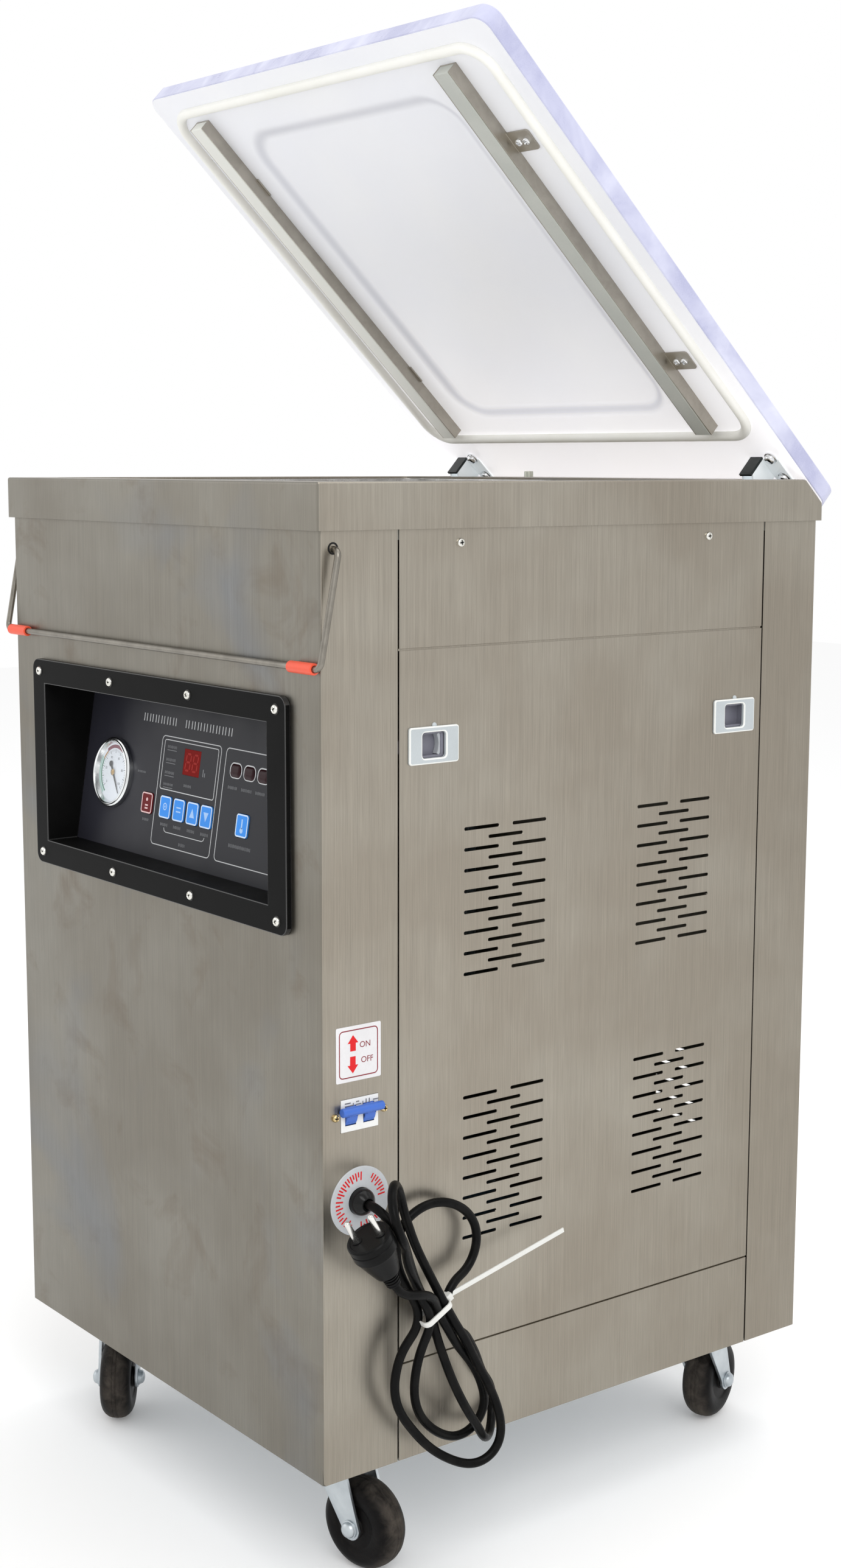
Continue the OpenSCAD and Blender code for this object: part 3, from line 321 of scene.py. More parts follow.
def wireObject(name, points, diameter, material):
    curve = bpy.data.curves.new(name, "CURVE")
    curve.dimensions = "3D"
    curve.bevel_depth = diameter / 2
    curve.bevel_resolution = 5
    curve.use_fill_caps = True
    spline = curve.splines.new("POLY")
    spline.points.add(len(points) - 1)
    for point, at in zip(spline.points, points):
        point.co = (*at, 1)
    made = bpy.data.objects.new(name, curve)
    bpy.context.scene.collection.objects.link(made)
    made.data.materials.append(material)
    return made


def leadRubber():
    f = Finish("leadRubber")
    dust = f.noise(60, 4)
    colour = f.blend(f.spread(dust, 0.45, 0.75), (0.004, 0.004, 0.004), (0.009, 0.0086, 0.008))
    rough = f.spread(f.noise(240, 2), 0.3, 0.7, 0.26, 0.38)
    return f.done(colour, Roughness=rough, specular=0.07, Normal=f.bump(f.noise(900, 2), 0.25, 0.0001))


# ---- finishes, one for each material slot


def sheetSteel(name, warm, cool, rough, blotch=0.0):
    # rolled stainless with an upright grain, faint cloudy stains and small scratches
    f = Finish(name)
    grain = f.noise(1, 4, 0.6, f.stretched((900, 900, 7)))
    fine = f.noise(1, 2, 0.5, f.stretched((2600, 2600, 40)))
    cloud = f.noise(7, 3, 0.55)
    streak = f.spread(grain, 0.3, 0.7)
    colour = f.blend(f.spread(cloud, 0.38, 0.66), warm, cool)
    if blotch:
        stain = f.noise(14, 5, 0.6, distortion=0.6)
        colour = f.blend(f.spread(stain, 0.56, 0.74, 0, blotch), colour, (0.125, 0.09, 0.058))
        oil = f.noise(5.5, 3, 0.5, f.stretched((1, 1, 1), (3, 1, 2)), 0.5)
        colour = f.blend(f.spread(oil, 0.55, 0.72, 0, blotch), colour, (0.165, 0.185, 0.215))
    colour = f.blend(streak * 0.22, colour, (1, 1, 1), "OVERLAY")
    # painted shade: darker towards the floor and the back
    paintedShade = f.spread(f.axis(2), 0.12, 0.66, 0.7, 0) + f.spread(f.axis(1), -0.08, 0.26, 0, 0.55)
    colour = f.blend(paintedShade, colour, (0.82, 0.82, 0.81), "MULTIPLY")
    colour = f.blend(f.spread(fine, 0.42, 0.6, 0, 0.12), colour, (0.12, 0.11, 0.1))
    roughness = f.spread(grain + fine * 0.5, 0.4, 1.1, rough - 0.06, rough + 0.1)
    bumps = f.bump(grain + fine * 0.6, 0.35, 0.00012)
    return f.done(colour, Metallic=1.0, Roughness=roughness, Normal=bumps)


def plated(name, low, high, rough, scale=26, metallic=1.0, bump=0.15):
    # zinc, chrome and ground steel: cloudy plating with handling marks
    f = Finish(name)
    cloud = f.noise(scale, 4, 0.6, distortion=0.3)
    marks = f.noise(scale * 12, 2, 0.5)
    colour = f.blend(f.spread(cloud, 0.35, 0.68), low, high)
    roughness = f.spread(cloud + marks * 0.4, 0.45, 1.0, rough - 0.05, rough + 0.1)
    return f.done(colour, Metallic=metallic, Roughness=roughness, Normal=f.bump(marks, bump, 0.0001))


def moulded(name, colour, rough, grain=0.2, scale=500, dust=None, coat=0.0, **more):
    # plastics and rubbers: a fine moulded grain, slow changes of gloss and some dust
    f = Finish(name)
    slow = f.noise(22, 3, 0.5)
    fine = f.noise(scale, 3, 0.55)
    second = dust or tuple(min(c * 1.25 + 0.004, 1) for c in colour)
    shade = f.blend(f.spread(slow + fine * 0.35, 0.52, 0.95, 0, 0.55 if dust is None else 0.85), colour, second)
    roughness = f.spread(slow, 0.3, 0.7, rough - 0.05, rough + 0.08)
    return f.done(shade, Roughness=roughness, Coat_Weight=coat, Normal=f.bump(fine, grain, 0.0001), **more)


def castAcrylic():
    # the slab is clear white, with painted shade along the hollow's ramp
    f = Finish("castAcrylic")
    haze = f.noise(9, 3, 0.5)
    ramp = f.node("Attribute", dict(attribute_name="ramp"), output=2)
    body = f.blend(f.spread(haze, 0.35, 0.7), (0.93, 0.94, 0.985), (0.97, 0.975, 1.0))
    body = f.blend(ramp * 0.55, body, (0.60, 0.61, 0.68))
    # painted glow: an emission, stronger towards the hinge, brightens the slab
    near = f.spread(f.axis(2), 0.87, 1.10, 1, 0)
    paintedLidGlow = f.blend(near * near * (1 - ramp * 0.6), (0, 0, 0), (1.0, 0.97, 0.96))
    return f.done(body, Roughness=0.3, Transmission_Weight=0.1, IOR=1.49, specular=0.25,
                  Emission_Color=paintedLidGlow, Emission_Strength=0.5)


def panelFilm():
    # satin film, lighter towards the left round the gauge
    f = Finish("panelFilm")
    wear = f.noise(22, 3, 0.5)
    fine = f.noise(900, 3, 0.55)
    tone = f.blend(f.spread(wear + fine * 0.35, 0.52, 0.95, 0, 0.5), (0.012, 0.0125, 0.017),
                   (0.018, 0.0185, 0.023))
    tone = f.blend(f.spread(f.axis(0), -0.17, -0.03), (0.026, 0.026, 0.035), tone)
    return f.done(tone, Roughness=f.spread(wear, 0.3, 0.7, 0.3, 0.42), specular=0.22,
                  Normal=f.bump(fine, 0.1, 0.0001))


finishes = dict(
    stainless_sheet=sheetSteel("sheetSteel", (0.295, 0.264, 0.218), (0.345, 0.318, 0.270), 0.34),
    zinc_plate=plated("zincPlate", (0.40, 0.44, 0.47), (0.60, 0.64, 0.66), 0.36),
    polished_steel=plated("brightSteel", (0.52, 0.52, 0.51), (0.70, 0.70, 0.69), 0.22, 40),
    lid_acrylic=castAcrylic(),
    gasket_rubber=moulded("ivoryGasket", (0.85, 0.845, 0.79), 0.5, 0.2, 700, (0.91, 0.905, 0.87)),
    strip_silicone=moulded("siliconeStrip", (0.33, 0.36, 0.33), 0.5, 0.3, 900),
    black_plastic=moulded("bezelBlack", (0.005, 0.005, 0.005), 0.36, 0.12, 800, specular=0.04),
    panel_film=panelFilm(),
    chrome_ring=plated("chrome", (0.66, 0.67, 0.68), (0.82, 0.83, 0.84), 0.12, 30, bump=0.05),
    needle_black=moulded("needleBlack", (0.012, 0.012, 0.012), 0.45),
    display_red=moulded("displayRed", (0.11, 0.004, 0.006), 0.14, 0.05, 900, coat=0.5),
    key_blue=moulded("keyBlue", (0.045, 0.27, 0.80), 0.42, 0.2, 800, specular=0.15),
    key_red=moulded("keyRed", (0.13, 0.006, 0.008), 0.42, 0.2, 800, specular=0.15),
    white_plastic=moulded("breakerWhite", (0.72, 0.72, 0.70), 0.36, 0.15, 900),
    lever_blue=moulded("leverBlue", (0.035, 0.12, 0.48), 0.3, 0.12, 800),
    label_white=moulded("labelWhite", (0.66, 0.65, 0.66), 0.42, 0.05, 500),
    latch_grey=moulded("latchGrey", (0.42, 0.455, 0.47), 0.34, 0.15, 700),
    slider_grey=moulded("sliderGrey", (0.17, 0.17, 0.205), 0.4, 0.15, 700),
    sleeve_orange=moulded("sleeveRubber", (0.78, 0.085, 0.035), 0.42, 0.2, 600),
    tread_rubber=moulded("treadRubber", (0.003, 0.003, 0.003), 0.62, 0.5, 420, (0.010, 0.009, 0.008),
                         specular=0.04),
    pump_paint=moulded("pumpPaint", (0.07, 0.12, 0.17), 0.4, 0.4, 300),
    filler_white=moulded("fillerWhite", (0.80, 0.80, 0.78), 0.45, 0.2, 300),
    seal_bakelite=moulded("sealBakelite", (0.13, 0.055, 0.025), 0.42, 0.25, 400),
    cord_rubber=moulded("plugRubber", (0.012, 0.012, 0.013), 0.4, 0.2, 700, (0.026, 0.025, 0.025)),
    core_steel=moulded("coreVarnish", (0.15, 0.07, 0.03), 0.35, 0.3, 300),
    board_green=moulded("boardGreen", (0.012, 0.08, 0.04), 0.35, 0.2, 500),
    hose_clear=moulded("hoseClear", (0.55, 0.55, 0.46), 0.3, 0.1, 200),
    tie_white=moulded("tieNylon", (0.66, 0.66, 0.63), 0.4, 0.1, 600),
    cylinder_black=moulded("cylinderRubber", (0.016, 0.016, 0.016), 0.5),
    spring_steel=plated("springSteel", (0.30, 0.30, 0.31), (0.45, 0.45, 0.45), 0.35, 60),
)
print("finishes ready:", len(finishes))

# ---- pieces made from the CAD nodes: merged copies with softened edges

toCabinet = moved(cabinet["width"] / 2, cabinet["midY"], -cabinet["base"]) @ Matrix.Scale(1000, 4)
toRow = toCabinet.inverted()
slotOf = {node: each.data.materials[0].name.split(".")[0] for node, each in frame["nodes"].items()}


def copyOf(node):
    bm = bmesh.new()
    bm.from_mesh(frame["nodes"][node].data)
    bmesh.ops.remove_doubles(bm, verts=bm.verts, dist=0.00001)
    bmesh.ops.dissolve_limit(bm, angle_limit=math.radians(1), verts=bm.verts, edges=bm.edges)
    bm.transform(toCabinet)
    return bm


def soften(bm, width, segments=2, angle=30, chosen=None):
    edges = [e for e in bm.edges if e.is_manifold and e.calc_face_angle(0) > math.radians(angle)]
    edges = [e for e in edges if chosen is None or chosen(e)]
    bmesh.ops.bevel(bm, geom=edges, offset=width, offset_type="OFFSET", segments=segments, profile=0.5,
                    affect="EDGES", clamp_overlap=False)


def piece(name, bm, materials, body, nodes=(), angle=32):
    # a mesh in cabinet millimetres becomes a piece in the row frame
    bm.transform(toRow)
    mesh = bpy.data.meshes.new(name)
    bm.to_mesh(mesh)
    bm.free()
    for material in materials if isinstance(materials, (list, tuple)) else [materials]:
        mesh.materials.append(material)
    mesh.shade_smooth()
    mesh.set_sharp_from_angle(angle=math.radians(angle))
    made = bpy.data.objects.new(name, mesh)
    bpy.context.scene.collection.objects.link(made)
    even = made.modifiers.new("evenShading", "WEIGHTED_NORMAL")
    even.keep_sharp = True
    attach(made, body)
    if nodes:
        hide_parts(*nodes)
    return made


def roundLoop(low, high, radius, z, arc=8):
    # every loop has the same number of points, so that loops of any size can be joined
    loop = []
    corners = ((high[0], low[1], -90), (high[0], high[1], 0), (low[0], high[1], 90), (low[0], low[1], 180))
    for x, y, start in corners:
        x += radius if x == low[0] else -radius
        y += radius if y == low[1] else -radius
        for k in range(arc + 1):
            a = math.radians(start + 90 * k / arc)
            loop.append(Vector((x + radius * math.cos(a), y + radius * math.sin(a), z)))
    return loop


def insetLoop(low, high, radius, inset, z, arc=8):
    return roundLoop((low[0] + inset, low[1] + inset), (high[0] - inset, high[1] - inset), radius - inset, z,
                     arc)


def skin(bm, loops, closed=False, material=0):
    # joins loops of equally many points; an open row of loops is capped at both ends
    rings = [[bm.verts.new(p) for p in loop] for loop in loops]
    faces = []
    for a, b in zip(rings, rings[1:] + ([rings[0]] if closed else [])):
        faces += [bm.faces.new((a[i], a[(i + 1) % len(a)], b[(i + 1) % len(a)], b[i])) for i in range(len(a))]
    if not closed:
        faces += [bm.faces.new(rings[0][::-1]), bm.faces.new(rings[-1])]
    for face in faces:
        face.material_index = material
    bmesh.ops.recalc_face_normals(bm, faces=faces)
    return [v for ring in rings for v in ring]


def circle(radius, steps):
    angles = [2 * math.pi * k / steps for k in range(steps)]
    return [(radius * math.cos(a), radius * math.sin(a)) for a in angles]


def turned(bm, profile, steps=48, closed=False, matrix=None, material=0):
    # a lathe form about the z axis; the profile is a list of radius and height
    loops = [[Vector((x, y, height)) for x, y in circle(radius, steps)] for radius, height in profile]
    verts = skin(bm, loops, closed, material)
    if matrix:
        bmesh.ops.transform(bm, matrix=matrix, verts=verts)
    return verts


def slab(bm, outline, low, high, matrix=None, material=0):
    # a flat outline in x and y made into a plate from low to high
    verts = skin(bm, [[Vector((x, y, z)) for x, y in outline] for z in (low, high)], material=material)
    if matrix:
        bmesh.ops.transform(bm, matrix=matrix, verts=verts)
    return verts


def block(bm, low, high, matrix=None, material=0):
    outline = ((low[0], low[1]), (high[0], low[1]), (high[0], high[1]), (low[0], high[1]))
    return slab(bm, outline, low[2], high[2], matrix, material)


def towards(direction, at, spin=0):
    # stands a form that was made about the z axis on a place, facing a direction
    turn = Vector(direction).to_track_quat("Z", "Y").to_matrix().to_4x4()
    return Matrix.Translation(at) @ turn @ spun(spin)


def islands(bm):
    # lists of faces that hang together
    seen, groups = set(), []
    for start in bm.faces:
        if start in seen:
            continue
        seen.add(start)
        group, waiting = [], [start]
        while waiting:
            face = waiting.pop()
            group.append(face)
            for other in [near for edge in face.edges for near in edge.link_faces]:
                if other not in seen:
                    seen.add(other)
                    waiting.append(other)
        groups.append(group)
    return groups


def paint(bm, choose):
    # choose turns an island's lowest and highest corner into a material number
    for group in islands(bm):
        points = np.array([v.co for face in group for v in face.verts])
        number = choose(points.min(axis=0), points.max(axis=0))
        for face in group:
            face.material_index = number


def ringLine(bm, low, high, radius, width, base, top, matrix, material=0):
    # a raised rounded frame, as printed or embossed lines are
    steps = ((0, base), (0, top), (width, top), (width, base))
    verts = skin(bm, [insetLoop(low, high, radius, inset, z, 5) for inset, z in steps], closed=True,
                 material=material)
    bmesh.ops.transform(bm, matrix=matrix, verts=verts)


def stroke(bm, points, width, base, top, matrix, material=0):
    # an open line of some width that follows points in x and y
    line = [Vector((x, y)) for x, y in points]
    left, right = [], []
    for i, p in enumerate(line):
        before = (p - line[i - 1]).normalized() if i else (line[1] - p).normalized()
        after = (line[i + 1] - p).normalized() if i + 1 < len(line) else before
        along = (before + after).normalized()
        side = Vector((-along.y, along.x)) * width / 2 / max(along.dot(before), 0.4)
        left.append(p + side)
        right.append(p - side)
    outline = [(p.x, p.y) for p in right + left[::-1]]
    slab(bm, outline, base, top, matrix, material)


def disc(bm, at, radius, base, top, matrix, material=0, steps=32):
    slab(bm, [(at[0] + x, at[1] + y) for x, y in circle(radius, steps)], base, top, matrix, material)


def sector(bm, inner, outer, first, last, base, top, matrix, material=0, steps=24):
    angles = [math.radians(first + (last - first) * k / steps) for k in range(steps + 1)]
    outline = [(outer * math.cos(a), outer * math.sin(a)) for a in angles]
    outline += [(inner * math.cos(a), inner * math.sin(a)) for a in angles[::-1]]
    slab(bm, outline, base, top, matrix, material)


def lettering(bm, text, size, at, base, top, matrix, material=0):
    # flat raised characters, centred on a place
    curve = bpy.data.curves.new("lettering", "FONT")
    curve.body = text
    curve.size = size
    curve.align_x = "CENTER"
    curve.align_y = "CENTER"
    curve.extrude = (top - base) / 2
    holder = bpy.data.objects.new("lettering", curve)
    mesh = bpy.data.meshes.new_from_object(holder)
    mesh.transform(matrix @ moved(at[0], at[1], (base + top) / 2))
    addMesh(bm, mesh, material)
    bpy.data.objects.remove(holder)
    bpy.data.curves.remove(curve)


def addMesh(bm, mesh, material=0):
    before = len(bm.faces)
    bm.from_mesh(mesh)
    bm.faces.ensure_lookup_table()
    for face in bm.faces[before:]:
        face.material_index = material
    bpy.data.meshes.remove(mesh)


def tube(bm, points, radius, steps=20, material=0):
    # a round rod along a line; each ring is carried on from the last without twist
    line = [Vector(p) for p in points]
    side = None
    loops = []
    for i, p in enumerate(line):
        along = (line[min(i + 1, len(line) - 1)] - line[max(i - 1, 0)]).normalized()
        side = along.orthogonal() if side is None else side
        side = (side - along * side.dot(along)).normalized()
        other = along.cross(side)
        loops.append([p + side * x + other * y for x, y in circle(radius, steps)])
    return skin(bm, loops, material=material)


def bent(corners, radius, steps=6):
    # a line through corners, each rounded to a bend radius
    line = [Vector(corners[0])]
    for a, b, c in zip(corners, corners[1:], corners[2:]):
        a, b, c = Vector(a), Vector(b), Vector(c)
        toA, toC = (a - b).normalized(), (c - b).normalized()
        half = toA.angle(toC) / 2
        back = radius / math.tan(half)
        centre = b + (toA + toC).normalized() * radius / math.sin(half)
        first, last = (b + toA * back - centre).normalized(), (b + toC * back - centre).normalized()
        line += [centre + first.slerp(last, k / steps) * radius for k in range(steps + 1)]
    return line + [Vector(corners[-1])]


def makeRepeats():
    # the node group that sets one form on every point, with its own turn and size and a random spin
    group = bpy.data.node_groups.new("repeats", "GeometryNodeTree")
    kinds = dict(Points="Geometry", Form="Object", Finish="Material", Spin="Float", Seed="Int")
    recessShadeAndWashers = {name: group.interface.new_socket(name=name, in_out="INPUT", socket_type="NodeSocket" + kind)
               for name, kind in kinds.items()}
    group.interface.new_socket(name="Result", in_out="OUTPUT", socket_type="NodeSocketGeometry")

    kinds = dict(
        start="NodeGroupInput", turn="GeometryNodeInputNamedAttribute", size="GeometryNodeInputNamedAttribute",
        fixed="FunctionNodeEulerToRotation", opposite="ShaderNodeMath", chance="FunctionNodeRandomValue",
        axis="ShaderNodeCombineXYZ", free="FunctionNodeEulerToRotation", both="FunctionNodeRotateRotation",
        form="GeometryNodeObjectInfo", copies="GeometryNodeInstanceOnPoints",
        real="GeometryNodeRealizeInstances",
        finish="GeometryNodeSetMaterial", end="NodeGroupOutput",
    )
    nodes = {name: group.nodes.new(kind) for name, kind in kinds.items()}
    for name in ("turn", "size"):
        nodes[name].data_type = "FLOAT_VECTOR"
        nodes[name].inputs["Name"].default_value = name
    nodes["opposite"].operation = "MULTIPLY"
    nodes["opposite"].inputs[1].default_value = -1
    nodes["chance"].data_type = "FLOAT"
    nodes["both"].rotation_space = "LOCAL"
    wires = (
        ("turn", "Attribute", "fixed", 0), ("start", "Spin", "opposite", 0), ("opposite", 0, "chance", 2),
        ("start", "Spin", "chance", 3), ("start", "Seed", "chance", "Seed"), ("chance", 1, "axis", "Z"),
        ("axis", 0, "free", 0), ("fixed", 0, "both", 0), ("free", 0, "both", 1),
        ("start", "Form", "form", "Object"), ("start", "Points", "copies", "Points"),
        ("form", "Geometry", "copies", "Instance"), ("both", 0, "copies", "Rotation"),
        ("size", "Attribute", "copies", "Scale"), ("copies", 0, "real", 0), ("real", 0, "finish", "Geometry"),
        ("start", "Finish", "finish", "Material"), ("finish", 0, "end", 0),
    )
    for source, output, target, entry in wires:
        group.links.new(nodes[source].outputs[output], nodes[target].inputs[entry])
    return group, {name: socket.identifier for name, socket in recessShadeAndWashers.items()}


repeats, repeatInputs = makeRepeats()


def repeated(form, places, material, spin=0.0, seed=3):
    # the form, a bmesh, on every place given as a matrix; the result is one baked mesh
    shape = bpy.data.meshes.new("form")
    form.to_mesh(shape)
    form.free()
    holder = bpy.data.objects.new("form", shape)
    points = bpy.data.meshes.new("points")
    points.from_pydata([p.to_translation() for p in places], [], [])
    for name, values in (("turn", [p.to_euler() for p in places]), ("size", [p.to_scale() for p in places])):
        layer = points.attributes.new(name, "FLOAT_VECTOR", "POINT")
        layer.data.foreach_set("vector", [part for value in values for part in value])
    carrier = bpy.data.objects.new("points", points)
    for each in (holder, carrier):
        bpy.context.scene.collection.objects.link(each)
    modifier = carrier.modifiers.new("repeats", "NODES")
    modifier.node_group = repeats
    for name, value in dict(Form=holder, Finish=material, Spin=spin, Seed=seed).items():
        modifier[repeatInputs[name]] = value
    graph = bpy.context.evaluated_depsgraph_get()
    baked = bpy.data.meshes.new_from_object(carrier.evaluated_get(graph), depsgraph=graph)
    carrier.modifiers.remove(modifier)
    for each in (holder, carrier):
        bpy.data.objects.remove(each)
    return baked


def screwHead(radius, height, spinPoints=48):
    # a pan head with a cross recess
    bm = bmesh.new()
    angles = [2 * math.pi * (k + 0.5) / spinPoints for k in range(spinPoints)]

    def around(size, z):
        return [Vector((size(a) * math.cos(a), size(a) * math.sin(a), z)) for a in angles]

    def cross(reach, half):
        def size(a):
            c, s = abs(math.cos(a)) + 1e-9, abs(math.sin(a)) + 1e-9
            return max(min(reach / c, half / s), min(reach / s, half / c))
        return size

    shape = ((0.6, -0.2), (1, 0), (1, 0.3), (0.95, 0.58), (0.84, 0.82), (0.7, 0.96))
    loops = [around(lambda a, r=r: radius * r, height * h) for r, h in shape]
    loops.append(around(cross(radius * 0.6, radius * 0.17), height))
    loops.append(around(cross(radius * 0.54, radius * 0.13), height * 0.75))
    loops.append(around(cross(radius * 0.2, radius * 0.1), height * 0.2))
    skin(bm, loops)
    return bm


def screwCross(radius, height):
    # painted shade: a dark block in the bottom of a cross recess
    bm = bmesh.new()
    for reach, half in ((0.5, 0.11), (0.11, 0.5)):
        block(bm, (-radius * reach, -radius * half, height * 0.15),
              (radius * reach, radius * half, height * 0.72))
    return bm


def tick(u, v, width, height, thick=0.11):
    # where a printed stroke sits on its plate, and its size
    return moved(u, v, -0.05) @ Matrix.Diagonal((width, height, thick, 1))


def printTicks(bm, places, material="label_white", slotNumber=0):
    shape = bmesh.new()
    block(shape, (-0.5, -0.5, 0), (0.5, 0.5, 1))
    addMesh(bm, repeated(shape, places, finishes[material]), slotNumber)


softEdges = dict(
    chassis=0.3, rear_panel=0.3, fixed_side_panels=0.3, chamber_tub=0.5, filler_plates=1.0, lift_cylinders=0.6,
    pressure_strips=1.0, hinge_shaft=0.5, hinge_brackets=0.3, lid_switch_pin=0.6, bail_sleeves=0.8,
    control_plate=0.2, caster_plates=0.4, vacuum_pump=0.8, valve_and_hose=0.5,
    transformer=0.8, cord_tie=0.25, control_board=0.2,
)
made = {}


def dressNode(node, materials=None, bm=None, choose=None):
    bm = bm or copyOf(node)
    if node in softEdges:
        soften(bm, softEdges[node])
    if choose:
        paint(bm, choose)
    made[node] = piece(node + "_dressed", bm, materials or finishes[slotOf[node]], nodeBody[node], [node])
    return made[node]


def stripSilicone():
    # painted light: the left strip is painted paler than the right one, where light falls on it
    f = Finish("stripSilicone")
    wear = f.noise(22, 3, 0.5)
    fine = f.noise(900, 3, 0.55)
    mottledTone = f.blend(f.spread(wear + fine * 0.35, 0.52, 0.95), (0.46, 0.475, 0.44), (0.53, 0.54, 0.50))
    colour = f.blend(f.spread(f.axis(0), -0.1, 0.1), (0.74, 0.745, 0.70), mottledTone)
    return f.done(colour, Roughness=f.spread(wear, 0.3, 0.7, 0.45, 0.58), Normal=f.bump(fine, 0.3, 0.0001))


toned = dict(pressure_strips=stripSilicone(),
             lid_switch_pin=plated("pinSteel", (0.42, 0.44, 0.38), (0.60, 0.61, 0.54), 0.35, 90))
for node in softEdges:
    dressNode(node, toned.get(node))
print("plain nodes dressed:", len(softEdges))


# ---- sheet panels: bent front corners, vent slots with round ends, the folded tray

sheetForm = dict(
    bend=1.8, slotRound=1.35, slotTop=520, slotFront=130, slotRear=410, trayBend=2.0, trayTop=772.5, trayOut=3.9,
    mouthRim=20, mouthBack=505,
)


# painted shade: a darker copy of the sheet steel for the faces towards the front, with cloudy stains
def shadedStainedFront():
    return sheetSteel("shadedStainedFront", (0.190, 0.175, 0.146), (0.232, 0.220, 0.190), 0.36, 0.5)


def buildSheets():
    s = sheetForm
    bm = copyOf("front_panel")

    def frontCorner(e):
        a, b = (v.co for v in e.verts)
        side = min(a.x, cabinet["width"] - a.x)
        return abs(a.z - b.z) > 300 and a.y < 0.01 and side < 0.01 and abs(a.x - b.x) < 0.01
    soften(bm, s["bend"], 5, 30, frontCorner)
    steels = [finishes["stainless_sheet"], shadedStainedFront()]

    # the faces towards the front take the darker copy as painted shade
    def paintFrontShade():
        bm.normal_update()
        for face in bm.faces:
            face.material_index = 1 if face.normal.y < -0.5 else 0
    paintFrontShade()
    dressNode("front_panel", steels, bm)
    for node in ("side_door_right", "side_door_left"):
        bm = copyOf(node)

        def slotCorner(e):
            a, b = (v.co for v in e.verts)
            inside = s["slotFront"] < a.y < s["slotRear"] and 100 < a.z < s["slotTop"]
            return inside and abs(a.y - b.y) < 0.01 and abs(a.z - b.z) < 0.01
        soften(bm, s["slotRound"], 4, 30, slotCorner)
        dressNode(node, None, bm)
    bm = copyOf("top_tray")

    def trayEdge(e):
        # the outer folds, without the lower rim and the chamber mouth
        a, b = (v.co for v in e.verts)
        reach, rim = s["trayOut"], s["mouthRim"]
        outer = all(p.x < -reach or p.x > cabinet["width"] + reach or p.y < -reach or p.y > cabinet["depth"] + reach
                    or p.z > s["trayTop"] - 0.1 for p in (a, b))
        lower = max(a.z, b.z) < cabinet["height"] + 0.1
        mouth = (min(a.x, b.x) > rim and max(a.x, b.x) < cabinet["width"] - rim and min(a.y, b.y) > rim
                 and max(a.y, b.y) < s["mouthBack"] and abs(a.z - b.z) < 0.1)
        return outer and (a - b).length > 12 and not lower and not mouth
    soften(bm, s["trayBend"], 4, 25, trayEdge)
    paintFrontShade()
    dressNode("top_tray", steels, bm)


buildSheets()
print("sheet panels bent")


# ---- the sealing side: bars, tapes and wires inside, sprung bars under the lid

barSteel = plated("barSteel", (0.36, 0.335, 0.29), (0.44, 0.41, 0.36), 0.34, 60, bump=0.1)
tape = moulded("sealTape", (0.42, 0.36, 0.24), 0.4, 0.2, 900)
for node in ("seal_bar_left", "seal_bar_right"):
    bars = copyOf(node)
    soften(bars, 0.2)

    def barPart(low, high):
        if high[2] - low[2] > 20:
            return 0 if high[0] - low[0] > 12 else 2
        return 1 if high[0] - low[0] > 12 else 2
    dressNode(node, [finishes["seal_bakelite"], tape, finishes["spring_steel"]], bars, barPart)


def openedLid():
    axis = moved(0, hinge["y"], hinge["z"])
    return axis @ spun(-hinge["angle"], "X") @ axis.inverted()


hinge = dict(y=496, z=753.5, angle=43, armFront=469, boltX=(49, 461), boltY=(466.5, 491))
lidUnder = 778.5
tab = dict(x=(432.5, 441.5), y=(107.25, 348.25), back=1.5, corner=3)


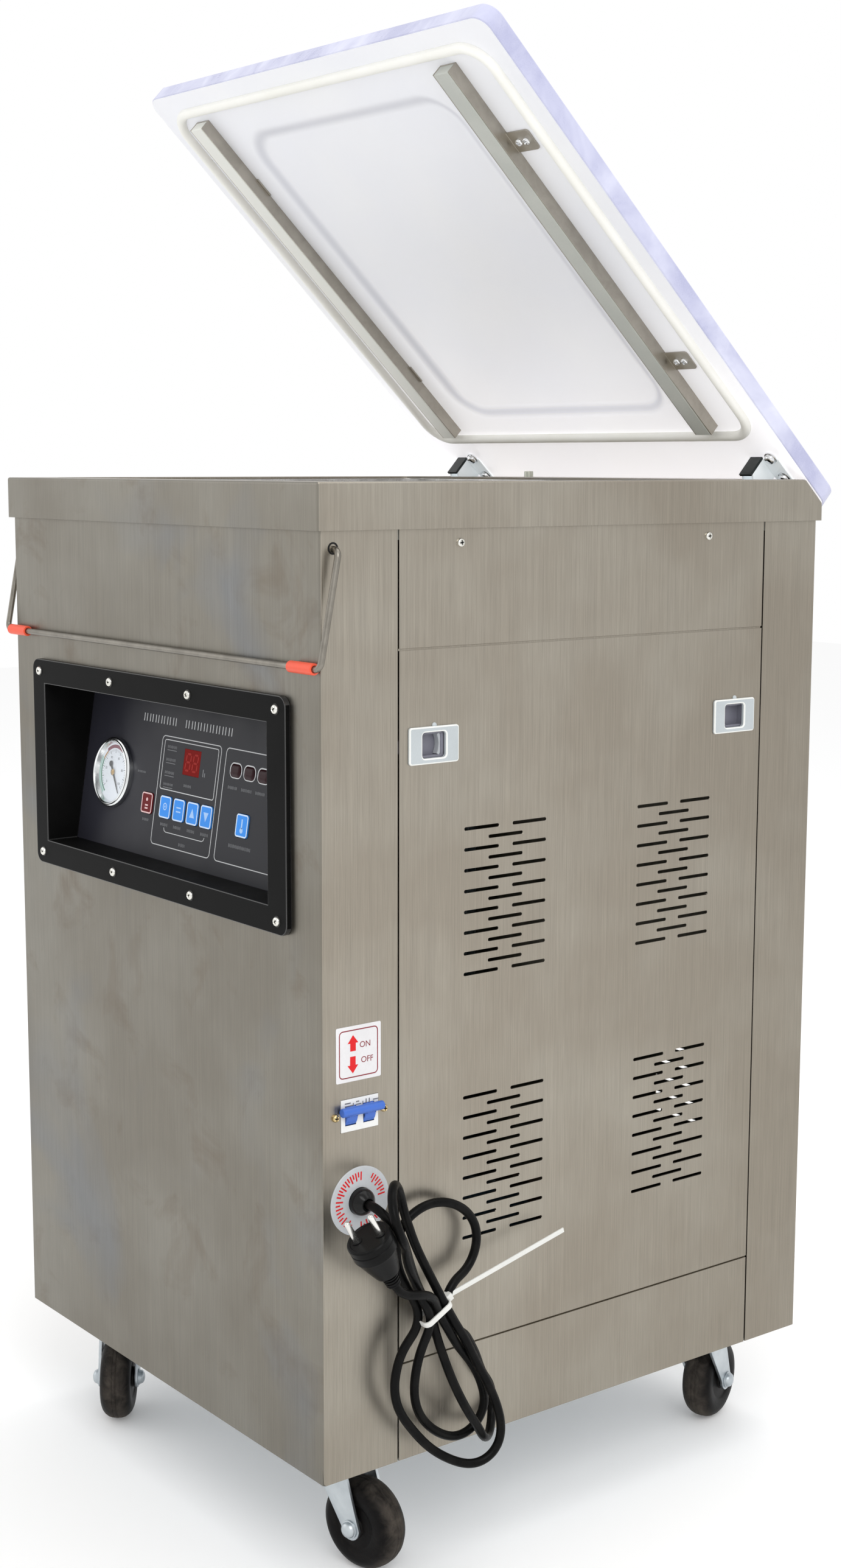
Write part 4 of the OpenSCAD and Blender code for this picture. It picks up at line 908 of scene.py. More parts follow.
def buildLidSteel():
    shut = openedLid().inverted()
    bm = copyOf("pressure_bars")
    bm.transform(shut)
    bm.normal_update()

    def tabCorner(e):
        a, b = (v.co for v in e.verts)
        return abs(a.z - b.z) > 1 and (a - b).length < 2 and max(a.x, b.x) > 449 and (a - b).xy.length < 0.01
    soften(bm, tab["corner"], 4, 30, tabCorner)
    soften(bm, 0.3, 2, 60)
    bm.transform(openedLid())
    dressNode("pressure_bars", barSteel, bm)
    bm = copyOf("hinge_arms")
    bm.transform(shut)
    soften(bm, 0.5)
    paint(bm, lambda low, high: 1 if high[1] < hinge["armFront"] + 0.1 else 0)
    bm.transform(openedLid())
    # painted glow: an emission brightens the plating, as if lit through the clear slab
    paintedArmGlow = dict(Emission_Color=(0.80, 0.85, 0.87, 1), Emission_Strength=0.3)
    cover = moulded("armRubber", (0.008, 0.012, 0.012), 0.3, 0.5, 260, (0.03, 0.036, 0.036), specular=0.3)
    dressNode("hinge_arms", [moulded("armZinc", (0.74, 0.78, 0.80), 0.32, 0.12, 260, (0.84, 0.87, 0.88), **paintedArmGlow),
                             cover], bm)
    # screws of the tabs, domed bolts with washers beside the arms, capped nuts above the lid
    down = spun(180, "X")
    tabPlaces = [(x, y) for x in tab["x"] for y in tab["y"]]
    boltPlaces = [(x, y) for x in hinge["boltX"] for y in hinge["boltY"]]
    heads = [moved(x, y, lidUnder - tab["back"]) @ down for x, y in tabPlaces]
    bm = bmesh.new()
    addMesh(bm, repeated(screwHead(3.5, 2.4), heads, finishes["chrome_ring"], math.pi, 4))
    dome = bmesh.new()
    turned(dome, [(2, -0.5), (6, -0.5), (6, 0.5), (5.6, 0.9), (4.9, 1.0), (4.9, 1.8), (4.6, 3.1), (3.7, 4.3),
                  (2.2, 4.95), (0.6, 5.1)], 40)
    bolts = [moved(x, y, lidUnder - tab["back"]) @ down for x, y in boltPlaces]
    addMesh(bm, repeated(dome, bolts, finishes["chrome_ring"]))
    cap = bmesh.new()
    turned(cap, [(3, -0.3), (5.4, -0.3), (5.4, 0.3), (5, 0.5)], 40)
    turned(cap, [(2, 0.3), (4.7, 0.5), (4.75, 2.2), (4.2, 2.8), (2.5, 3)], 6)
    caps = [moved(x, y, lidUnder + 16) for x, y in boltPlaces]
    addMesh(bm, repeated(cap, caps, finishes["chrome_ring"], math.pi, 8))
    for x, y in boltPlaces:
        turned(bm, [(2.45, -1), (2.45, 16.2)], 24, matrix=moved(x, y, lidUnder))
    for x, y in tabPlaces:
        turned(bm, [(1.45, -1.6), (1.45, 6), (0.6, 6.5)], 20, matrix=moved(x, y, lidUnder))
    bm.transform(openedLid())
    dressNode("lid_fasteners", None, bm)


buildLidSteel()
print("lid hardware built")


# ---- the control panel: print, keys, lamps and gauge on the tilted plate

plate = moved(0, 25, 450.5) @ spun(81, "X")
printed = dict(
    frames=(((186, 12), (281, 106), 4.5, 0.75), ((190.5, 60), (277, 103), 2.5, 0.7),
            ((288, 12), (400, 106), 4.5, 0.75)),
    title=dict(v=118.5, height=6.8, words=((151, 6), (220, 8)), letter=9.6, gap=4.3, width=1.15),
    # captions: left end, height up the plate, how many ticks, tick height, whether underlined
    captions=(
        (196.5, 97, 9, 2.5, 1), (196.5, 86, 9, 2.5, 1), (196.5, 75, 9, 2.5, 1), (196.5, 65, 9, 2.2, 1),
        (229, 67, 7, 2.4, 0), (199, 30.5, 7, 2.6, 0), (220.5, 30.5, 7, 2.6, 0), (242.5, 30.5, 7, 2.6, 0),
        (264, 30.5, 7, 2.6, 0), (169, 31, 6, 2.4, 0), (232, 17, 6, 2.8, 0), (152, 71, 8, 1.9, 0),
        (297, 74, 8, 2.6, 0), (317, 74, 9, 2.6, 0), (338, 74, 8, 2.6, 0), (308, 27.5, 19, 2.9, 0),
    ),
    pitch=1.75,
    bracket=((205, 28), (206, 25.6), (208.5, 24.6), (266.5, 24.6), (269, 25.6), (270, 28)),
    lamps=dict(centres=(305.5, 326, 346.5), v=88.4, half=(9, 6.5), round=5.6, line=1.0),
    unit=(256.5, 80.5),
)


def dots(name, colour, rough=0.5):
    return moulded(name, colour, rough, 0.05, 900, specular=0.2)


def buildBezel():
    # glossier edges round the frame, painted lighter as a highlight
    bm = copyOf("bezel")
    soften(bm, 0.7)
    bm.normal_update()
    for face in bm.faces:
        face.material_index = 1 if max(abs(c) for c in face.normal) < 0.97 else 0
    edge = moulded("bezelEdgeHighlight", (0.03, 0.03, 0.03), 0.25, 0.05, 800)
    dressNode("bezel", [finishes["black_plastic"], edge], bm)


def buildPanelPrint():
    p = printed
    bm = bmesh.new()
    for low, high, radius, width in p["frames"]:
        ringLine(bm, low, high, radius, width, -0.05, 0.07, plate)
    stroke(bm, p["bracket"], 0.6, -0.05, 0.07, plate)
    lamps = p["lamps"]
    for u in lamps["centres"]:
        at = plate @ moved(u, lamps["v"], 0)
        ringLine(bm, [-c for c in lamps["half"]], lamps["half"], lamps["round"], lamps["line"], -0.05, 0.09, at)
    t = p["title"]
    ticks = []
    for start, count in t["words"]:
        for k in range(count):
            for side in (-1, 1):
                u = start + t["letter"] * k + 3.4 + side * t["gap"] / 2
                ticks.append(plate @ tick(u, t["v"], t["width"], t["height"], 0.12))
    printTicks(bm, ticks)
    small = []
    for u, v, count, height, ruled in p["captions"]:
        for k in range(count):
            rise = height * (1, 0.82, 1, 0.9)[k % 4]
            small.append(plate @ tick(u + k * p["pitch"], v, 0.6, rise))
        if ruled:
            length = count * p["pitch"] - 0.6
            small.append(plate @ tick(u + length / 2 - 0.5, v - 2.9, length, 0.5))
    u, v = p["unit"]
    small += [plate @ tick(u, v, 1.1, 6.2), plate @ tick(u + 2.6, v - 1.4, 1.1, 3.4)]
    printTicks(bm, small, slotNumber=1)
    inks = [dots("printWhite", (0.56, 0.57, 0.58)), dots("printGrey", (0.20, 0.205, 0.215))]
    piece("panelPrint", bm, inks, "cabinet")


def segmentDigit(bm, u, v, width, height, line, material, lit=range(7)):
    # seven slanted bars; each is a flat hexagon
    half = height / 2
    bars = (((0, height), (width, height)), ((0, half), (0, height)), ((width, half), (width, height)),
            ((0, half), (width, half)), ((0, 0), (0, half)), ((width, 0), (width, half)), ((0, 0), (width, 0)))
    for k in lit:
        (x0, y0), (x1, y1) = bars[k]
        a, b = Vector((x0 + y0 * 0.12, y0)), Vector((x1 + y1 * 0.12, y1))
        along = (b - a).normalized()
        side = Vector((-along.y, along.x)) * line / 2
        a, b = a + along * line * 0.35, b - along * line * 0.35
        end = along * line / 2
        outline = [a, a + end - side, b - end - side, b, b - end + side, a + end + side]
        slab(bm, [(u + c.x, v + c.y) for c in outline], -0.05, 0.12, plate, material)


def buildDisplay():
    bm = copyOf("display_window")
    bm.transform(plate.inverted())
    soften(bm, 0.25)
    paint(bm, lambda low, high: 1 if low[0] > 280 else 0)
    bm.transform(plate)
    for start in (227.2, 238.4):
        segmentDigit(bm, start, 80, 7, 14, 1.7, 2)
    for u in printed["lamps"]["centres"]:
        at = plate @ moved(u, printed["lamps"]["v"], 0)
        skin(bm, [[at @ p for p in insetLoop((-7.6, -5.1), (7.6, 5.1), 4.4, inset, rise, 8)]
                  for inset, rise in ((0, -0.3), (0.1, 0.3), (1, 0.9), (2.2, 1.25), (3.6, 1.4))], material=1)
    # painted glow: the unlit red window has a faint emission
    glow = dict(Emission_Color=(0.6, 0.008, 0.002, 1), Emission_Strength=0.09, specular=0.04)
    glass = moulded("windowRed", (0.13, 0.003, 0.002), 0.3, 0.03, 900, **glow)
    lens = moulded("lampLens", (0.022, 0.004, 0.006), 0.2, 0.05, 900, specular=0.14)
    bars = moulded("segmentRed", (0.30, 0.010, 0.006), 0.3, 0.03, 900, specular=0.1)
    dressNode("display_window", [glass, lens, bars], bm)


# shape of each key's mark, drawn about the middle of the key
keys = dict(
    button_stop=(174, 18, [("disc", (0, 3), 1.5), ("line", ((-2.4, -2), (2.4, -2)), 1.3),
                           ("line", ((-2.4, -4.6), (2.4, -4.6)), 1.3)]),
    button_vacuum=(204.5, 19, [("ring", (0, 0.5), 3.2, 1), ("disc", (0, 0.5), 1)]),
    button_seal=(226.5, 19, [("line", ((-3.6, 2), (3.6, 2)), 1.2), ("line", ((-3.6, -1.4), (3.6, -1.4)), 1.2)]),
    button_up=(248.5, 19, [("shape", ((-3.9, -3.6), (3.9, -3.6), (0, 4.2)))]),
    button_down=(270, 19, [("shape", ((-3.9, 3.6), (0, -4.2), (3.9, 3.6)))]),
    button_heat=(325, 19, [("line", ((0, -2.6), (0, 5.4)), 1.9), ("disc", (0, -3.9), 2.3)]),
)
keyShape = dict(width=17.5, v=45.5, top=1.0, radius=2.7, line=1.15)


def buildKeys():
    k = keyShape
    pale = dots("keyOutline", (0.60, 0.73, 0.93), 0.4)
    mark = dots("keyMark", (0.36, 0.56, 0.90), 0.4)
    rose = dots("stopOutline", (0.72, 0.50, 0.50), 0.4)
    for node, (u, height, marks) in keys.items():
        bm = copyOf(node)
        soften(bm, 0.3)
        at = plate @ moved(u, k["v"], 0)
        half = (k["width"] / 2 - 0.12, height / 2 - 0.12)
        ringLine(bm, (-half[0], -half[1]), half, k["radius"] - 0.1, k["line"], k["top"] - 0.1, k["top"] + 0.07,
                 at, 1)
        low, high = k["top"] - 0.1, k["top"] + 0.05
        for kind, *values in marks:
            if kind == "disc":
                disc(bm, values[0], values[1], low, high, at, 2)
            elif kind == "ring":
                ring = [(values[1], low), (values[1], high), (values[1] - values[2], high),
                        (values[1] - values[2], low)]
                turned(bm, ring, 32, closed=True, matrix=at @ moved(*values[0], 0), material=2)
            elif kind == "line":
                stroke(bm, values[0], values[1], low, high, at, 2)
            else:
                slab(bm, values[0], low, high, at, 2)
        stop = node == "button_stop"
        dressNode(node, [finishes[slotOf[node]], rose if stop else pale, rose if stop else mark], bm)


gauge = dict(u=112, v=65, dial=1.05, glass=4.9, first=222, last=-42, marks=41, numbers=6)
gaugeRing = [(25.6, 1), (26.8, 4.4), (27.1, 5.2), (27.8, 5.85), (28.5, 5.8), (29, 5.3), (29.1, 4.7), (29.7, 4.5),
             (30.5, 4.1), (30.95, 3.5), (31, 2.8), (31, 1.0), (30.6, 0.8), (30.6, -0.3), (27, -0.3)]


def buildGauge():
    g = gauge
    at = plate @ moved(g["u"], g["v"], 0)
    bm = bmesh.new()
    turned(bm, gaugeRing, 96, closed=True, matrix=at, material=0)
    turned(bm, [(27.7, -20), (27.7, 0.2)], 64, matrix=at, material=0)
    turned(bm, [(25.7, 0.2), (25.7, g["dial"]), (1.2, g["dial"])], 72, matrix=at, material=1)
    turned(bm, [(26.9, g["glass"] - 0.2), (26.9, g["glass"] + 0.1)], 72, matrix=at, material=2)
    dial = at @ moved(0, 0, g["dial"])
    bands = ((20.6, 22.2, 152, 236, 3), (20.8, 22.4, 128, 152, 4), (21.4, 24.4, 58, 128, 5),
             (23, 25.4, 150, 232, 6))
    for inner, outer, first, last, material in bands:
        sector(bm, inner, outer, first, last, -0.04, 0.05, dial, material, 40)
    fine, bold = [], []
    for k in range(g["marks"]):
        angle = g["first"] + (g["last"] - g["first"]) * k / (g["marks"] - 1)
        major = k % 4 == 0
        length, width = (3.2, 0.55) if major else (1.8, 0.3)
        radius = 20.2 - length / 2
        turn = spun(angle) @ moved(radius, 0, -0.04)
        (bold if major else fine).append(dial @ turn @ Matrix.Diagonal((length, width, 0.1, 1)))
    printTicks(bm, bold + fine, "needle_black", 7)
    for k in range(g["numbers"]):
        angle = math.radians(g["first"] + (g["last"] - g["first"]) * k / (g["numbers"] - 1))
        lettering(bm, str(20 * k), 3.2, (14 * math.cos(angle), 14 * math.sin(angle)), -0.02, 0.06, dial, 7)
    ringMetal = plated("gaugeRing", (0.70, 0.72, 0.72), (0.88, 0.89, 0.89), 0.16, 24, bump=0.04)
    # painted glow: the dial face has a faint emission to brighten it
    face = moulded("dialWhite", (0.74, 0.78, 0.84), 0.42, 0.03, 500, Emission_Color=(0.8, 0.85, 0.95, 1),
                   Emission_Strength=0.1)
    cover = Finish("gaugeGlass")
    smear = cover.spread(cover.noise(30, 3), 0.35, 0.7, 0.03, 0.09)
    glass = cover.done((0.9, 0.93, 0.95), Roughness=smear, Alpha=0.10, Coat_Weight=0.6)
    inks = [dots("dialGreen", (0.02, 0.22, 0.11)), dots("dialAmber", (0.45, 0.24, 0.07)),
            dots("dialRed", (0.20, 0.025, 0.05)), dots("dialMint", (0.38, 0.60, 0.54)),
            dots("dialInk", (0.10, 0.11, 0.13))]
    dressNode("gauge_case", [ringMetal, face, glass, *inks], bm)
    # the pointer turns with its arbor: black blade, round tail and a brass hub
    bm = bmesh.new()
    aim = at @ spun(-55)
    blade = [(-9, -1.1), (-2, -0.8), (0, -0.9), (14, -0.5), (21.5, -0.16), (21.5, 0.16), (14, 0.5), (0, 0.9),
             (-2, 0.8), (-9, 1.1)]
    slab(bm, blade, 1.6, 2.2, aim)
    disc(bm, (-8.6, 0), 2.6, 1.6, 2.2, aim)
    turned(bm, [(0.95, -1.5), (0.95, 1.7)], 24, matrix=at)
    turned(bm, [(2.9, 2.1), (2.9, 2.5), (2.3, 2.9), (1.4, 3.05), (1.3, 3.3), (0.4, 3.5)], 32, matrix=at,
           material=1)
    brass = plated("hubBrass", (0.42, 0.27, 0.10), (0.60, 0.42, 0.18), 0.25, 60)
    dressNode("gauge_needle", [finishes["needle_black"], brass], bm)


buildBezel()
buildPanelPrint()
buildDisplay()
buildKeys()
buildGauge()
print("control panel built")


# ---- panel screws, label, ring plate, breaker and latches on the walls

# on the right wall: across is y, up is z, and out of it is x
wall = Matrix(((0, 0, 1, cabinet["width"]), (1, 0, 0, 0), (0, 1, 0, 0), (0, 0, 0, 1)))
screws = dict(
    bezelAt=(241, 521), bezelU=(-189, -63, 63, 189), bezelV=(-81.5, 81.5), bezelOut=-5,
    upper=((131, 726), (396, 726)), brassY=(11.8, 57.5), brassZ=293.8,
)


def buildScrews():
    s = screws
    front = spun(90, "X")
    # the dark recess blocks are painted shade; the washers share the same black
    chrome, recessShadeAndWashers = finishes["chrome_ring"], dots("recessShadeWasherBlack", (0.02, 0.02, 0.02))
    places = [moved(s["bezelAt"][0] + u, s["bezelOut"], s["bezelAt"][1] + v) @ front
              for u in s["bezelU"] for v in s["bezelV"]]
    bm = bmesh.new()
    addMesh(bm, repeated(screwHead(3.75, 2.4), places, chrome, math.pi, 5))
    left = Matrix(((0, 0, -1, 0), (-1, 0, 0, 0), (0, 1, 0, 0), (0, 0, 0, 1)))
    sides = [wall @ moved(y, z, 0) for y, z in s["upper"]]
    sides += [left @ moved(-y, z, 0) for y, z in s["upper"]]
    addMesh(bm, repeated(screwHead(3.5, 2.2), sides, chrome, math.pi, 9))
    brass = [wall @ moved(y, s["brassZ"], 0) for y in s["brassY"]]
    addMesh(bm, repeated(screwHead(3, 2.6), brass, chrome, math.pi, 2), 1)
    for size, where, seed in (((3.75, 2.4), places, 5), ((3.5, 2.2), sides, 9), ((3, 2.6), brass, 2)):
        addMesh(bm, repeated(screwCross(*size), where, recessShadeAndWashers, math.pi, seed), 2)
    washer = bmesh.new()
    turned(washer, [(3.3, -0.2), (4.5, -0.2), (4.5, 0.25), (3.3, 0.25)], 32, closed=True)
    addMesh(bm, repeated(washer, places, recessShadeAndWashers), 2)
    head = plated("screwNickel", (0.66, 0.65, 0.60), (0.84, 0.83, 0.79), 0.26, 60)
    yellow = plated("screwBrass", (0.55, 0.42, 0.20), (0.74, 0.60, 0.34), 0.26, 60)
    dressNode("panel_screws", [head, yellow, recessShadeAndWashers], bm)


label = dict(y=12.7, z=320.05, width=42, height=43.3, up=(15.8, 23.6, 36.2), down=(15.6, 19.4, 6.2), head=6.4,
             wide=10, shaft=5.2)
ring = dict(y=34.6, z=224, outer=27.5, inner=11.05, thick=1, tick=(16.6, 23.4),
            groups=((172, 244, 10), (88, 162, 12), (6, 58, 8), (272, 330, 8)))


def buildSidePlates():
    bm = bmesh.new()
    L = label
    base = wall @ moved(L["y"], L["z"], 0)
    outline = [(p.x, p.y) for p in roundLoop((0, 0), (L["width"], L["height"]), 1.2, 0, 4)]
    slab(bm, outline, -0.05, 0.3, base, 0)
    ringLine(bm, (2.7, 2.9), (L["width"] - 2.7, L["height"] - 2.9), 3.6, 0.85, 0.2, 0.37, base, 1)
    for u, foot, tip in (L["up"], L["down"]):
        turn = 1 if tip > foot else -1
        neck = tip - turn * L["head"]
        arrow = [(u - L["shaft"] / 2, foot), (u - L["shaft"] / 2, neck), (u - L["wide"] / 2, neck), (u, tip),
                 (u + L["wide"] / 2, neck), (u + L["shaft"] / 2, neck), (u + L["shaft"] / 2, foot)]
        slab(bm, arrow if turn < 0 else arrow[::-1], 0.2, 0.37, base, 2)
    lettering(bm, "ON", 6.6, (27.2, 27.4), 0.2, 0.4, base, 1)
    lettering(bm, "OFF", 6.6, (29, 15.4), 0.2, 0.4, base, 1)
    r = ring
    centre = wall @ moved(r["y"], r["z"], 0)
    rim = [(r["outer"], -0.05), (r["outer"], r["thick"] - 0.3), (r["outer"] - 0.3, r["thick"]),
           (r["inner"], r["thick"]), (r["inner"], -0.05)]
    turned(bm, rim, 96, closed=True, matrix=centre, material=3)
    ticks = []
    for first, last, count in r["groups"]:
        for k in range(count):
            length = (r["tick"][1] - r["tick"][0]) * (1 if k % 2 == 0 else 0.62)
            turn = spun(first + (last - first) * k / (count - 1))
            at = centre @ turn @ moved(r["tick"][1] - length / 2, 0, r["thick"] - 0.06)
            ticks.append(at @ Matrix.Diagonal((length, 1.25, 0.14, 1)))
    printTicks(bm, ticks, slotNumber=2)
    inks = [dots("labelInk", (0.22, 0.025, 0.035)), dots("arrowRed", (0.62, 0.014, 0.018)),
            moulded("ringGrey", (0.50, 0.52, 0.54), 0.32, 0.05, 400)]
    dressNode("side_plates", [finishes["label_white"], *inks], bm)


def buildGland():
    at = wall @ moved(ring["y"], ring["z"], 0)
    bm = bmesh.new()
    dome = [(6.2, -16), (6.2, 0.2), (10.75, 0.2), (10.75, 4.4), (10.5, 5.6), (9.9, 6.9), (8.9, 8.3), (7.7, 9.6),
            (6.6, 10.8), (5.7, 11.8), (4.7, 12), (3.95, 11.4), (3.7, 9.5), (3.7, 6), (3.7, -16)]
    turned(bm, dome, 64, closed=True, matrix=at)
    turned(bm, [(6.3, -6.5), (9.6, -6.5), (9.6, -1.6), (6.3, -1.6)], 6, closed=True, matrix=at)
    dressNode("cord_gland", moulded("glandRubber", (0.005, 0.005, 0.005), 0.16, 0.1, 500, specular=0.2), bm)


def buildPlug():
    s = plugShape
    lean = moved(cabinet["width"] + s["face"][0], s["face"][1], s["face"][2]) @ spun(s["lean"], "X")
    bm = bmesh.new()
    body = [(0.5, -0.6), (14.8, -0.6), (15.4, 0), (17.2, -0.2), (18, -1.2), (18, -5.4), (17.4, -5.9),
            (17.4, -6.6), (18, -7.1), (18, -13.2), (17.5, -14.6), (16.9, -15.6), (13.6, -26), (11, -33.6),
            (10.1, -36), (8.6, -37), (7.0, -37.6)]
    for k in range(4):
        z = -38.2 - k * 2.6
        body += [(5.6, z), (5.6, z - 1.0), (6.9 - k * 0.3, z - 1.3), (6.8 - k * 0.3, z - 2.3)]
    body += [(5.2, -48.8), (4, -49)]
    turned(bm, body, 56, matrix=lean)
    pin = bmesh.new()
    turned(pin, [(2.4, -1), (2.4, 16.6), (2.1, 17.9), (1.4, 18.7), (0.4, 19)], 28)
    spin = spun(47)
    pins = [lean @ spin @ moved(x, 0, 0) for x in (-9.5, 9.5)]
    addMesh(bm, repeated(pin, pins, finishes["chrome_ring"]), 1)
    for x in (-9.5, 9.5):
        turned(bm, [(4.2, -0.8), (4.2, -0.1), (3.9, 0.2), (2.3, 0.2)], 28, matrix=lean @ spin @ moved(x, 0, 0))
    rubber = moulded("plugBody", (0.004, 0.004, 0.004), 0.28, 0.2, 700, (0.007, 0.007, 0.007), specular=0.08)
    dressNode("plug", [rubber, plated("pinNickel", (0.70, 0.69, 0.66), (0.86, 0.85, 0.82), 0.2, 60)], bm)


def buildBreaker():
    bm = copyOf("breaker_body")
    soften(bm, 0.4)
    face = wall @ moved(0, 0, 0.56)
    bars = ((20.5, 303.4, 5.5, 1.0), (20.5, 301.2, 7.5, 0.8), (31, 303.6, 3, 0.9), (31, 301.4, 5, 0.8),
            (40, 302.6, 1, 3.6), (43, 302.6, 1, 3.6), (47, 302.6, 5.5, 0.9), (28, 300.3, 0.8, 5.6),
            (37, 300.3, 0.8, 5.6))
    printTicks(bm, [face @ tick(y + w / 2, z, w, h, 0.1) for y, z, w, h in bars], slotNumber=1)
    for low, high in (((17.1, 301.4), (51.9, 306.5)), ((17.1, 281.1), (51.9, 285.8)),
                      ((17.1, 285.8), (20.8, 301.4)), ((31.2, 285.8), (37.8, 301.4)),
                      ((48.2, 285.8), (51.9, 301.4))):
        block(bm, (*low, 0.1), (*high, 0.55), wall, 0)
    dressNode("breaker_body", [finishes["white_plastic"], dots("breakerInk", (0.17, 0.17, 0.18))], bm)
    # each pole's blue drum turns with the tie bar
    bm = copyOf("breaker_toggle")
    soften(bm, 0.9)
    for y in (26, 43):
        drum = towards((0, 1, 0), (cabinet["width"] - 6, y, screws["brassZ"]))
        turned(bm, [(3, -5), (9, -5), (9.55, -4.5), (9.55, 4.5), (9, 5), (3, 5)], 64, matrix=drum)
    dressNode("breaker_toggle", None, bm)


latch = dict(
    ys=(104.9, 430.1), z=572.5, height=29, pocket=(23, 20), round=2.6, arc=27, arcSteps=16, arcBack=8.9,
    crescent=((19.5, -8.6), (19.5, -3.4), (18.9, -2.6), (17.5, -2.6), (16.9, -3.4), (16.9, -8.6)),
)


def buildLatches():
    s = latch
    bm = copyOf("latch_bodies")
    half = (s["pocket"][0] / 2 + 0.1, s["pocket"][1] / 2 + 0.1)

    def pocketCorner(e):
        a, b = (v.co for v in e.verts)
        y = min(abs(a.y - each) for each in s["ys"])
        atCorner = abs(y - half[0] + 0.1) < 0.2 and abs(abs(a.z - s["z"]) - half[1] + 0.1) < 0.2
        return atCorner and abs(a.x - b.x) > 1 and (a - b).yz.length < 0.01
    soften(bm, s["round"], 4, 30, pocketCorner)
    soften(bm, 1.1, 3, 50, lambda e: all(v.co.x > cabinet["width"] + 1 for v in e.verts))
    for face in bm.faces:
        proud = face.calc_center_median().x > cabinet["width"]
        face.material_index = 1 if proud and 0.15 < face.normal.x < 0.98 else 0
    for y in s["ys"]:
        nub = wall @ moved(y + 1, s["z"] + s["height"] / 2 + 0.6, 0)
        turned(bm, [(0.3, -0.1), (2.2, -0.1), (2.1, 0.6), (1.4, 1.3), (0.4, 1.6)], 24, matrix=nub)
    dressNode("latch_bodies", [finishes["latch_grey"], moulded("latchRim", (0.74, 0.75, 0.72), 0.3, 0.1, 700)],
              bm)
    for node, y, turn in (("latch_front", s["ys"][0], 1), ("latch_rear", s["ys"][1], -1)):
        bm = copyOf(node)
        soften(bm, 0.4)
        # the thumb's crescent at the end of the pocket
        at = wall @ moved(y, s["z"])
        loops = []
        for k in range(s["arcSteps"] + 1):
            a = math.radians(s["arc"] * (2 * k / s["arcSteps"] - 1))
            loops.append([at @ Vector((turn * (radius * math.cos(a) - s["arcBack"]), radius * math.sin(a), out))
                          for radius, out in s["crescent"]])
        skin(bm, loops, material=1)
        dressNode(node, [finishes["slider_grey"], moulded("thumbGrey", (0.42, 0.44, 0.46), 0.35, 0.1, 600)], bm)


rod = dict(radius=2.5, out=7.5, pivotY=12, pivotZ=723.5, barY=-5.1, barZ=636.5, bend=6)


def buildBail():
    r = rod
    ends = (-r["out"], cabinet["width"] + r["out"])
    inside = (7.5, cabinet["width"] - 7.5)
    corners = [(inside[0], r["pivotY"], r["pivotZ"]), (ends[0], r["pivotY"], r["pivotZ"]),
               (ends[0], r["barY"], r["barZ"]),
               (ends[1], r["barY"], r["barZ"]), (ends[1], r["pivotY"], r["pivotZ"]),
               (inside[1], r["pivotY"], r["pivotZ"])]
    bm = bmesh.new()
    tube(bm, bent(corners, r["bend"]), r["radius"], 24)
    dressNode("bail", plated("rodSteel", (0.20, 0.185, 0.16), (0.29, 0.27, 0.235), 0.36, 50, bump=0.1), bm)
    # painted shade: dark rings where the rod enters the walls stand in for the shaded holes
    bm = bmesh.new()
    for side, x in ((-1, 0), (1, cabinet["width"])):
        at = towards((side, 0, 0), (x, r["pivotY"], r["pivotZ"] + 0.6))
        turned(bm, [(3.1, -0.3), (4.7, -0.3), (4.6, 0.25), (3.3, 0.3)], 32, closed=True, matrix=at)
    piece("bailGrommets", bm, dots("holeShadeBlack", (0.008, 0.008, 0.008)), "cabinet")


spring = dict(turns=7, wire=2.4, coil=6.8, length=19.6, starts=(51.2, 398.8))


def buildSprings():
    s = spring
    bm = bmesh.new()
    for start in s["starts"]:
        line = []
        for k in range(s["turns"] * 24 + 1):
            a = math.radians(15 * k)
            along = s["wire"] / 2 + (s["length"] - s["wire"]) * k / (s["turns"] * 24)
            line.append((start + along, hinge["y"] + s["coil"] * math.cos(a),
                         hinge["z"] + s["coil"] * math.sin(a)))
        tube(bm, line, s["wire"] / 2, 12)
    dressNode("lid_springs", None, bm)


buildScrews()
buildSidePlates()
buildGland()
buildPlug()
buildBreaker()
buildLatches()
buildBail()
buildSprings()
print("side fittings built")

# ---- the lid: a thick acrylic slab with a moulded hollow, shown propped open

slabShape = dict(low=(-2.5, -5.5), high=(484.5, 532.5), radius=14, under=778.5, thick=16, edge=0.8)
hollow = dict(low=(88, 46), high=(390, 414), radius=40, ramp=17, depth=4, steps=14)
ringSeal = dict(low=(13.5, 11.5), high=(466.5, 443.5), radius=29, width=9, height=5.6, steps=14)


def sawnEdge():
    f = Finish("sawnEdge")
    cloud = f.noise(1, 4, 0.6, f.stretched((26, 13, 13)), 0.5)
    saw = f.noise(1, 2, 0.5, f.stretched((60, 600, 600)))
    tint = f.blend(f.spread(cloud, 0.36, 0.7), (0.42, 0.43, 0.60), (0.66, 0.67, 0.80))
    roughness = f.spread(cloud + saw * 0.4, 0.4, 0.9, 0.2, 0.4)
    return f.done(tint, Roughness=roughness, IOR=1.49, Normal=f.bump(saw, 0.2, 0.0002))


